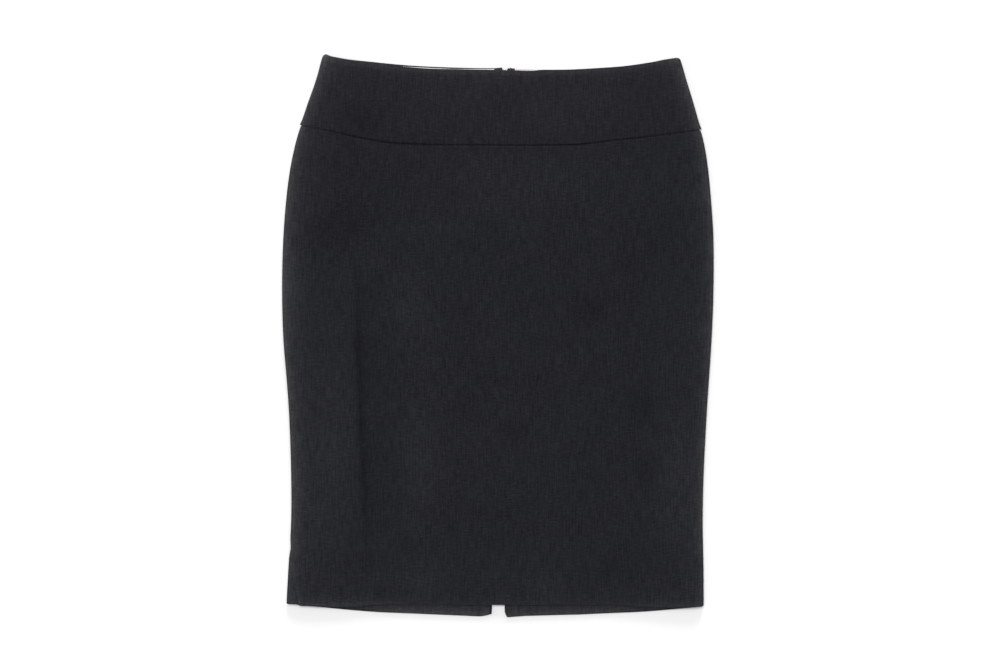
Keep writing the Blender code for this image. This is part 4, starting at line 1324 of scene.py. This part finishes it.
FRONT_INSET = 22.0
BEFORE_COLUMNS = 10
OPEN_COLUMNS = 104
FRONT_ROWS = 128

# Columns at fixed distances from the crease, closest together where it is steep.
LEFT_OF_CREASE = (-24, -20, -17, -14, -12, -10, -8.5, -7, -6, -5, -4, -3.2, -2.4, -1.6, -0.8, 0)
RIGHT_OF_CREASE = (0.8, 1.6, 2.4, 3.2, 4, 5, 6, 7.5, 9, 11, 13.5, 16.5, 20, 24, 28, 33, 38)
CREASE_OFFSETS = np.array(LEFT_OF_CREASE + RIGHT_OF_CREASE)
FRONT_FOLDS = len(LIP_STEPS) + FOLD_COLUMNS
FRONT_COUNT = 2 * FRONT_FOLDS + BEFORE_COLUMNS + len(CREASE_OFFSETS) + OPEN_COLUMNS


def front_fold(side, up, trim):
    """The columns of one side fold of the front, from its seam inwards."""
    last = ROLL_TURN * ROLL_RADIUS + FRONT_INSET - ROLL_RADIUS * (1 - math.cos(ROLL_TURN))
    seam = side_seam_run(side, up) + SEAM_GAP / 2
    run = fold_runs(seam, last)
    x, height, lean = fold_spot(side, run, up, trim, front_height)
    return x, height, lean, run - seam


def front_place(up, trim_left, trim_right):
    """x, height, lean, which way is out and the distance from the nearer side seam, for every column."""
    left = front_fold(-1, up[:, :FRONT_FOLDS], trim_left[:, :FRONT_FOLDS])
    right = front_fold(1, up[:, -FRONT_FOLDS:], trim_right[:, -FRONT_FOLDS:][:, ::-1])
    right = [part[:, ::-1] for part in right]
    crease = along(CREASE, "x", up[:, FRONT_FOLDS : FRONT_FOLDS + 1])
    near = crease + CREASE_OFFSETS[None, :]
    before = (np.arange(BEFORE_COLUMNS) + 1)[None, :] / (BEFORE_COLUMNS + 1)
    before = left[0][:, -1:] + (near[:, :1] - left[0][:, -1:]) * before
    after = (np.arange(OPEN_COLUMNS) + 1)[None, :] / (OPEN_COLUMNS + 1)
    after = near[:, -1:] + (right[0][:, :1] - near[:, -1:]) * after
    middle = np.concatenate([before, near, after], axis=1)
    x = np.concatenate([left[0], middle, right[0]], axis=1)
    height = front_height(middle, up[:, FRONT_FOLDS:-FRONT_FOLDS])
    height = np.concatenate([left[1], height, right[1]], axis=1)
    lean = np.concatenate([left[2], np.full_like(middle, math.pi / 2), right[2]], axis=1)
    from_side = np.concatenate([left[3], np.full_like(middle, FAR_OFF), right[3]], axis=1)
    return x, height, lean, np.sign(x), from_side


def front_edge(edge, trim):
    up = level_line(EDGE_LEVEL[edge], FRONT_COUNT)
    trims = np.full_like(up, trim)
    return edge_up(edge, front_place(up, trims, trims)[0])[0]


# Finer creases and puckers of the laid front.
FINE_FOLDS = (
    Swell(196.0, -277.0, 4.0, 34.0, 2.6, 0.30),
    Swell(188.0, -284.0, -3.0, 30.0, 2.4, -0.25),
    Swell(205.0, -267.0, 12.0, 22.0, 3.0, -0.30),
    Swell(214.0, -266.0, 80.0, 16.0, 5.0, 0.35),
    Swell(-156.0, 137.0, 30.0, 30.0, 12.0, -0.55),
    Swell(-189.0, 104.0, 60.0, 26.0, 11.0, -0.45),
    Swell(117.0, 36.0, 70.0, 28.0, 13.0, -0.50),
    Swell(187.0, 67.0, 80.0, 30.0, 12.0, -0.50),
    Swell(41.0, 26.0, 20.0, 30.0, 12.0, -0.50),
    Swell(-29.0, -17.0, 70.0, 34.0, 12.0, -0.50),
    Swell(157.0, -79.0, 75.0, 32.0, 13.0, -0.50),
    Swell(20.0, -228.0, 15.0, 36.0, 13.0, -0.50),
    Swell(138.0, -246.0, 60.0, 30.0, 12.0, -0.45),
    Swell(74.0, 170.0, 90.0, 34.0, 2.6, 0.20),
    Swell(-205.0, -130.0, 88.0, 90.0, 7.0, 0.40),
    Swell(-60.0, -130.0, 100.0, 60.0, 10.0, 0.45),
    Swell(-100.0, 60.0, 78.0, 50.0, 10.0, 0.40),
    Swell(90.0, -120.0, 64.0, 60.0, 10.0, 0.45),
    Swell(30.0, 70.0, 118.0, 60.0, 9.0, 0.40),
    Swell(195.0, -10.0, 96.0, 70.0, 8.0, 0.40),
    Swell(-30.0, -95.0, 140.0, 46.0, 9.0, -0.40),
)

# Ripples: radians for each mm across and up the cloth, where the wave starts and how high it is.
RIPPLES = (
    (0.034, 0.021, 0.9, 0.20),
    (-0.026, 0.043, 2.1, 0.18),
    (0.011, 0.058, 4.0, 0.14),
    (0.071, -0.018, 5.2, 0.14),
    (0.093, 0.052, 1.7, 0.07),
    (-0.088, 0.075, 3.3, 0.07),
)

# Puckers: how far apart, how high and how far out from the stitching. They drift and swell along it.
SEAM_PUCKERS = (9.5, 0.1, 7.0)
HEM_PUCKERS = (8.0, 0.07, 6.0)
PUCKER_DRIFT = 1.3
PUCKER_DRIFT_RUN = 23.0
PUCKER_SHARE = 0.6
PUCKER_SWELL = 0.4
PUCKER_SWELL_RUN = 41.0
PUCKER_SWELL_START = 0.7

# The fine wrinkle at the left end of the hem, and its waves: how much, how long and where they start.
WRINKLE_FROM = 150.0
WRINKLE_FADE = 40.0
WRINKLE_UP = 2.4
WRINKLE_SWAY = 0.9
WRINKLE_SWAY_RUN = 7.0
WRINKLE_HALF = 0.8
WRINKLE_RISE = 0.3
# The painted highlight along the wrinkle's ridge.
WRINKLE_HIGHLIGHT = 0.45
WRINKLE_SHARE = 0.55
WRINKLE_WAVES = ((0.30, 3.1, 0.0), (0.25, 7.7, 1.0))

# The front hem's painted light, and painted shade at its very edge: where its two ends start and over how
# far, then how much there is in the middle and how much the left and the right end add, and where the
# painted shade sets in and over how far.
HEM_LEFT = (70.0, 120.0)
HEM_RIGHT = (135.0, 50.0)
HEM_LIGHT_CLOSE = (0.30, 0.70, 0.45)
HEM_LIGHT_WIDE = (0.18, 0.26, 0.0)
HEM_LIGHT_REACH = 0.8
HEM_PAINTED_SHADE = (0.25, 0.50, 0.70)
HEM_SHADE_FROM = 90.0
HEM_SHADE_FADE = 60.0

# The stitches that hold the turned-up hem, just above where the turning ends, and how they show.
HEM_STITCH_ABOVE = 0.5
HEM_STITCH_DIP = 0.12
HEM_STITCH_HALF = 1.1
HEM_STITCH_SHARE = 0.7
HEM_STITCH_SWELL = 0.3
HEM_STITCH_RUN = 6.0

# The fine relief fades out towards the yoke seam, and where the cloth leans over into the side folds.
RELIEF_FADE = 8.0
TOP_LEAN = 1.1
TOP_LEAN_FADE = 0.4


def ripples(x, up):
    """Slight unevenness that the cloth keeps when it is laid down."""
    total = np.zeros_like(x)
    for across, along_it, start, rise in RIPPLES:
        total += rise * np.sin(across * x + along_it * up + start)
    return total


def seam_puckers(x, from_seam, pitch, rise, reach):
    """Small puckers that the stitching draws in, uneven along the seam."""
    drift = PUCKER_DRIFT * np.sin(x / PUCKER_DRIFT_RUN)
    share = PUCKER_SHARE + PUCKER_SWELL * np.sin(x / PUCKER_SWELL_RUN + PUCKER_SWELL_START)
    wave = np.sin(math.tau * x / pitch + drift) * share
    return rise * wave * np.exp(-np.abs(from_seam) / reach)


def wrinkle_ridge(x, from_hem):
    """1 along the top of the fine wrinkle that runs along the hem near its left end."""
    share = WRINKLE_SHARE
    for amount, run, start in WRINKLE_WAVES:
        share = share + amount * np.sin(x / run + start)
    share = smooth((-WRINKLE_FROM - x) / WRINKLE_FADE) * share
    sway = WRINKLE_SWAY * np.sin(x / WRINKLE_SWAY_RUN)
    return share * hill(from_hem - WRINKLE_UP - sway, WRINKLE_HALF)


def front_hem_painted_light(x, from_hem):
    """Painted light along the front hem, most towards its left end, and painted shade at the very edge."""
    left = smooth((-x - HEM_LEFT[0]) / HEM_LEFT[1])
    right = smooth((x - HEM_RIGHT[0]) / HEM_RIGHT[1])
    close, wide, painted_shade = (
        middle + at_left * left + at_right * right
        for middle, at_left, at_right in (HEM_LIGHT_CLOSE, HEM_LIGHT_WIDE, HEM_PAINTED_SHADE)
    )
    painted_highlight = painted_edge_light(from_hem, close, wide, HEM_LIGHT_REACH)
    painted_highlight = painted_highlight + WRINKLE_HIGHLIGHT * wrinkle_ridge(x, from_hem)
    edge = smooth((np.abs(x) - HEM_SHADE_FROM) / HEM_SHADE_FADE) * hill(from_hem, EDGE_SHADE_REACH)
    return painted_highlight - painted_shade * edge


def on_top(lean):
    """1 on the top of the front, fading out round the side folds."""
    return smooth((lean - TOP_LEAN) / TOP_LEAN_FADE)


def front_relief(x, up, lean):
    """What the cloth adds to the laid form."""
    return on_top(lean) * (ovals(FINE_FOLDS, x, up) + ripples(x, up))


def make_front_panel():
    seam_line = front_edge("yoke_seam", PANEL_TUCK) - SEAM_GAP / 2
    hem_line = front_edge("front_hem", 0.0)
    up, from_seam, from_top, from_hem = panel_rows(seam_line, hem_line, FRONT_ROWS)
    x, height, lean, side, from_side = front_place(up, *panel_trims(from_seam, from_hem))
    relief = front_relief(x, up, lean) * smooth(from_seam / RELIEF_FADE)
    relief += seam_puckers(x, from_seam, *SEAM_PUCKERS) * smooth(from_seam)
    relief += seam_puckers(x, from_hem, *HEM_PUCKERS) + WRINKLE_RISE * wrinkle_ridge(x, from_hem)
    dip = HEM_STITCH_DIP * hill(from_hem - HEM_DEPTH - HEM_STITCH_ABOVE, HEM_STITCH_HALF)
    relief -= dip * (HEM_STITCH_SHARE + HEM_STITCH_SWELL * np.sin(x / HEM_STITCH_RUN))
    thick = panel_thickness(from_seam, folded_in(from_hem, HEM_DEPTH))
    nearest = np.minimum.reduce([from_top, from_hem, from_side])
    stand = relief - seam_sink(x, from_seam)
    # Painted light along the folds and the hem, painted shade along the seam and the crease, and painted
    # patches of both.
    painted_light = np.where(x < 0, fold_painted_light(-1, x, up), fold_painted_light(1, x, up))
    marks = front_hem_painted_light(x, from_hem) + seam_painted_shade(x, from_seam) + crease_painted_shade(x, up)
    painted_light += marks + ovals(PAINTED_LIGHT_PATCHES, x, up)
    return suiting_piece("front_panel_cloth", (x, height, lean), up, side, thick, nearest, stand, painted_light)


piece = make_front_panel()
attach(piece, "skirt")
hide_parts("front_panel")

# ==== Front yoke =====================================================================================
# The shaped band above the front panel, cut on the fold, faced inside and turned in at the waist. Its
# lower edge laps a little over the panel's seam.

FRONT_YOKE_ROWS = 26
YOKE_PUCKERS = (9.5, 0.05, 5.0)
YOKE_RELIEF = 0.6
WAIST_RIDGE = 0.14
WAIST_RIDGE_DOWN = 6.0
WAIST_RIDGE_HALF = 2.2


def make_front_yoke():
    waist_line = front_edge("front_waist", 0.0)
    seam_line = front_edge("yoke_seam", -YOKE_STEP) + SEAM_GAP / 2
    up, from_waist, from_seam, trim = yoke_rows(waist_line, seam_line, FRONT_YOKE_ROWS)
    x, height, lean, side, from_side = front_place(up, trim, trim)
    proud = proud_of(lean, YOKE_PROUD)
    relief = front_relief(x, up, lean) * YOKE_RELIEF + seam_puckers(x, from_seam, *YOKE_PUCKERS)
    relief += WAIST_RIDGE * hill(from_waist - WAIST_RIDGE_DOWN, WAIST_RIDGE_HALF) * on_top(lean)
    thick = yoke_thickness(from_waist) + proud
    nearest = np.minimum.reduce([from_waist, from_seam, from_side])
    stand = proud + relief
    # Painted light along the folds and the waist edge, painted shade along the seam, and painted patches of
    # both.
    painted_light = np.where(x < 0, fold_painted_light(-1, x, up), fold_painted_light(1, x, up))
    painted_light += waist_painted_light(from_waist) + seam_painted_shade(x, from_seam) + ovals(PAINTED_LIGHT_PATCHES, x, up)
    return suiting_piece("front_yoke_cloth", (x, height, lean), up, side, thick, nearest, stand, painted_light)


piece = make_front_yoke()
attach(piece, "skirt")
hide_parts("front_yoke")

# ==== Floor, lights and camera =======================================================================
# A plain white table top under an even soft light and three large lamps: one overhead, one low on the
# left and one low beyond the waist. The camera looks straight down on the skirt.

FLOOR_HALF = 3000.0
FLOOR_BELOW = 0.05
FLOOR_WHITE = (0.88, 0.88, 0.883, 1.0)


def white_floor():
    made, tree, shader = new_finish("white_floor")
    give(tree, shader, {"Base Color": FLOOR_WHITE, "Roughness": 0.9, "Specular IOR Level": 0.1})
    return made


corners = ((-FLOOR_HALF, -FLOOR_HALF), (FLOOR_HALF, -FLOOR_HALF))
corners += ((FLOOR_HALF, FLOOR_HALF), (-FLOOR_HALF, FLOOR_HALF))
ground = bpy.data.meshes.new("floor")
ground.from_pydata([(x * MM, y * MM, -FLOOR_BELOW * MM) for x, y in corners], [], [(0, 1, 2, 3)])
ground.materials.append(white_floor())
floor = put_in_scene("floor", ground)

world = bpy.data.worlds.new("even_light")
world.use_nodes = True
even = world.node_tree.nodes["Background"]
give(world.node_tree, even, {"Color": (1.0, 1.0, 1.0, 1.0), "Strength": 0.41})
bpy.context.scene.world = world


def soft_lamp(name, toward, strength, spread):
    """A large lamp so far off that its light is even; the spread is how wide it looks, in degrees."""
    light = bpy.data.lights.new(name, "SUN")
    light.energy = strength
    light.angle = math.radians(spread)
    made = put_in_scene(name, light)
    made.rotation_mode = "QUATERNION"
    made.rotation_quaternion = Vector(toward).to_track_quat("Z", "Y")


soft_lamp("overhead", (-0.20, 0.30, 1.0), 1.85, 30.0)
soft_lamp("low_left", (-1.0, 0.1, 0.25), 0.8, 24.0)
soft_lamp("low_waist", (0.05, 1.0, 0.21), 3.05, 22.0)

CAMERA_HEIGHT = 3.0
PICTURE_WIDTH = 1.0886
SENSOR = 36.0
TURN = math.radians(0.65)
ABOVE = (7.8 * MM, 0.3 * MM, CAMERA_HEIGHT + 0.0025)
lens = bpy.data.cameras.new("camera")
lens.sensor_width = SENSOR
lens.lens = SENSOR * CAMERA_HEIGHT / PICTURE_WIDTH
lens.clip_end = 20.0
camera = put_in_scene("camera", lens)
camera.location = ABOVE
camera.rotation_euler = (0.0, 0.0, TURN)
bpy.context.scene.camera = camera
bpy.context.scene.view_settings.view_transform = "Standard"
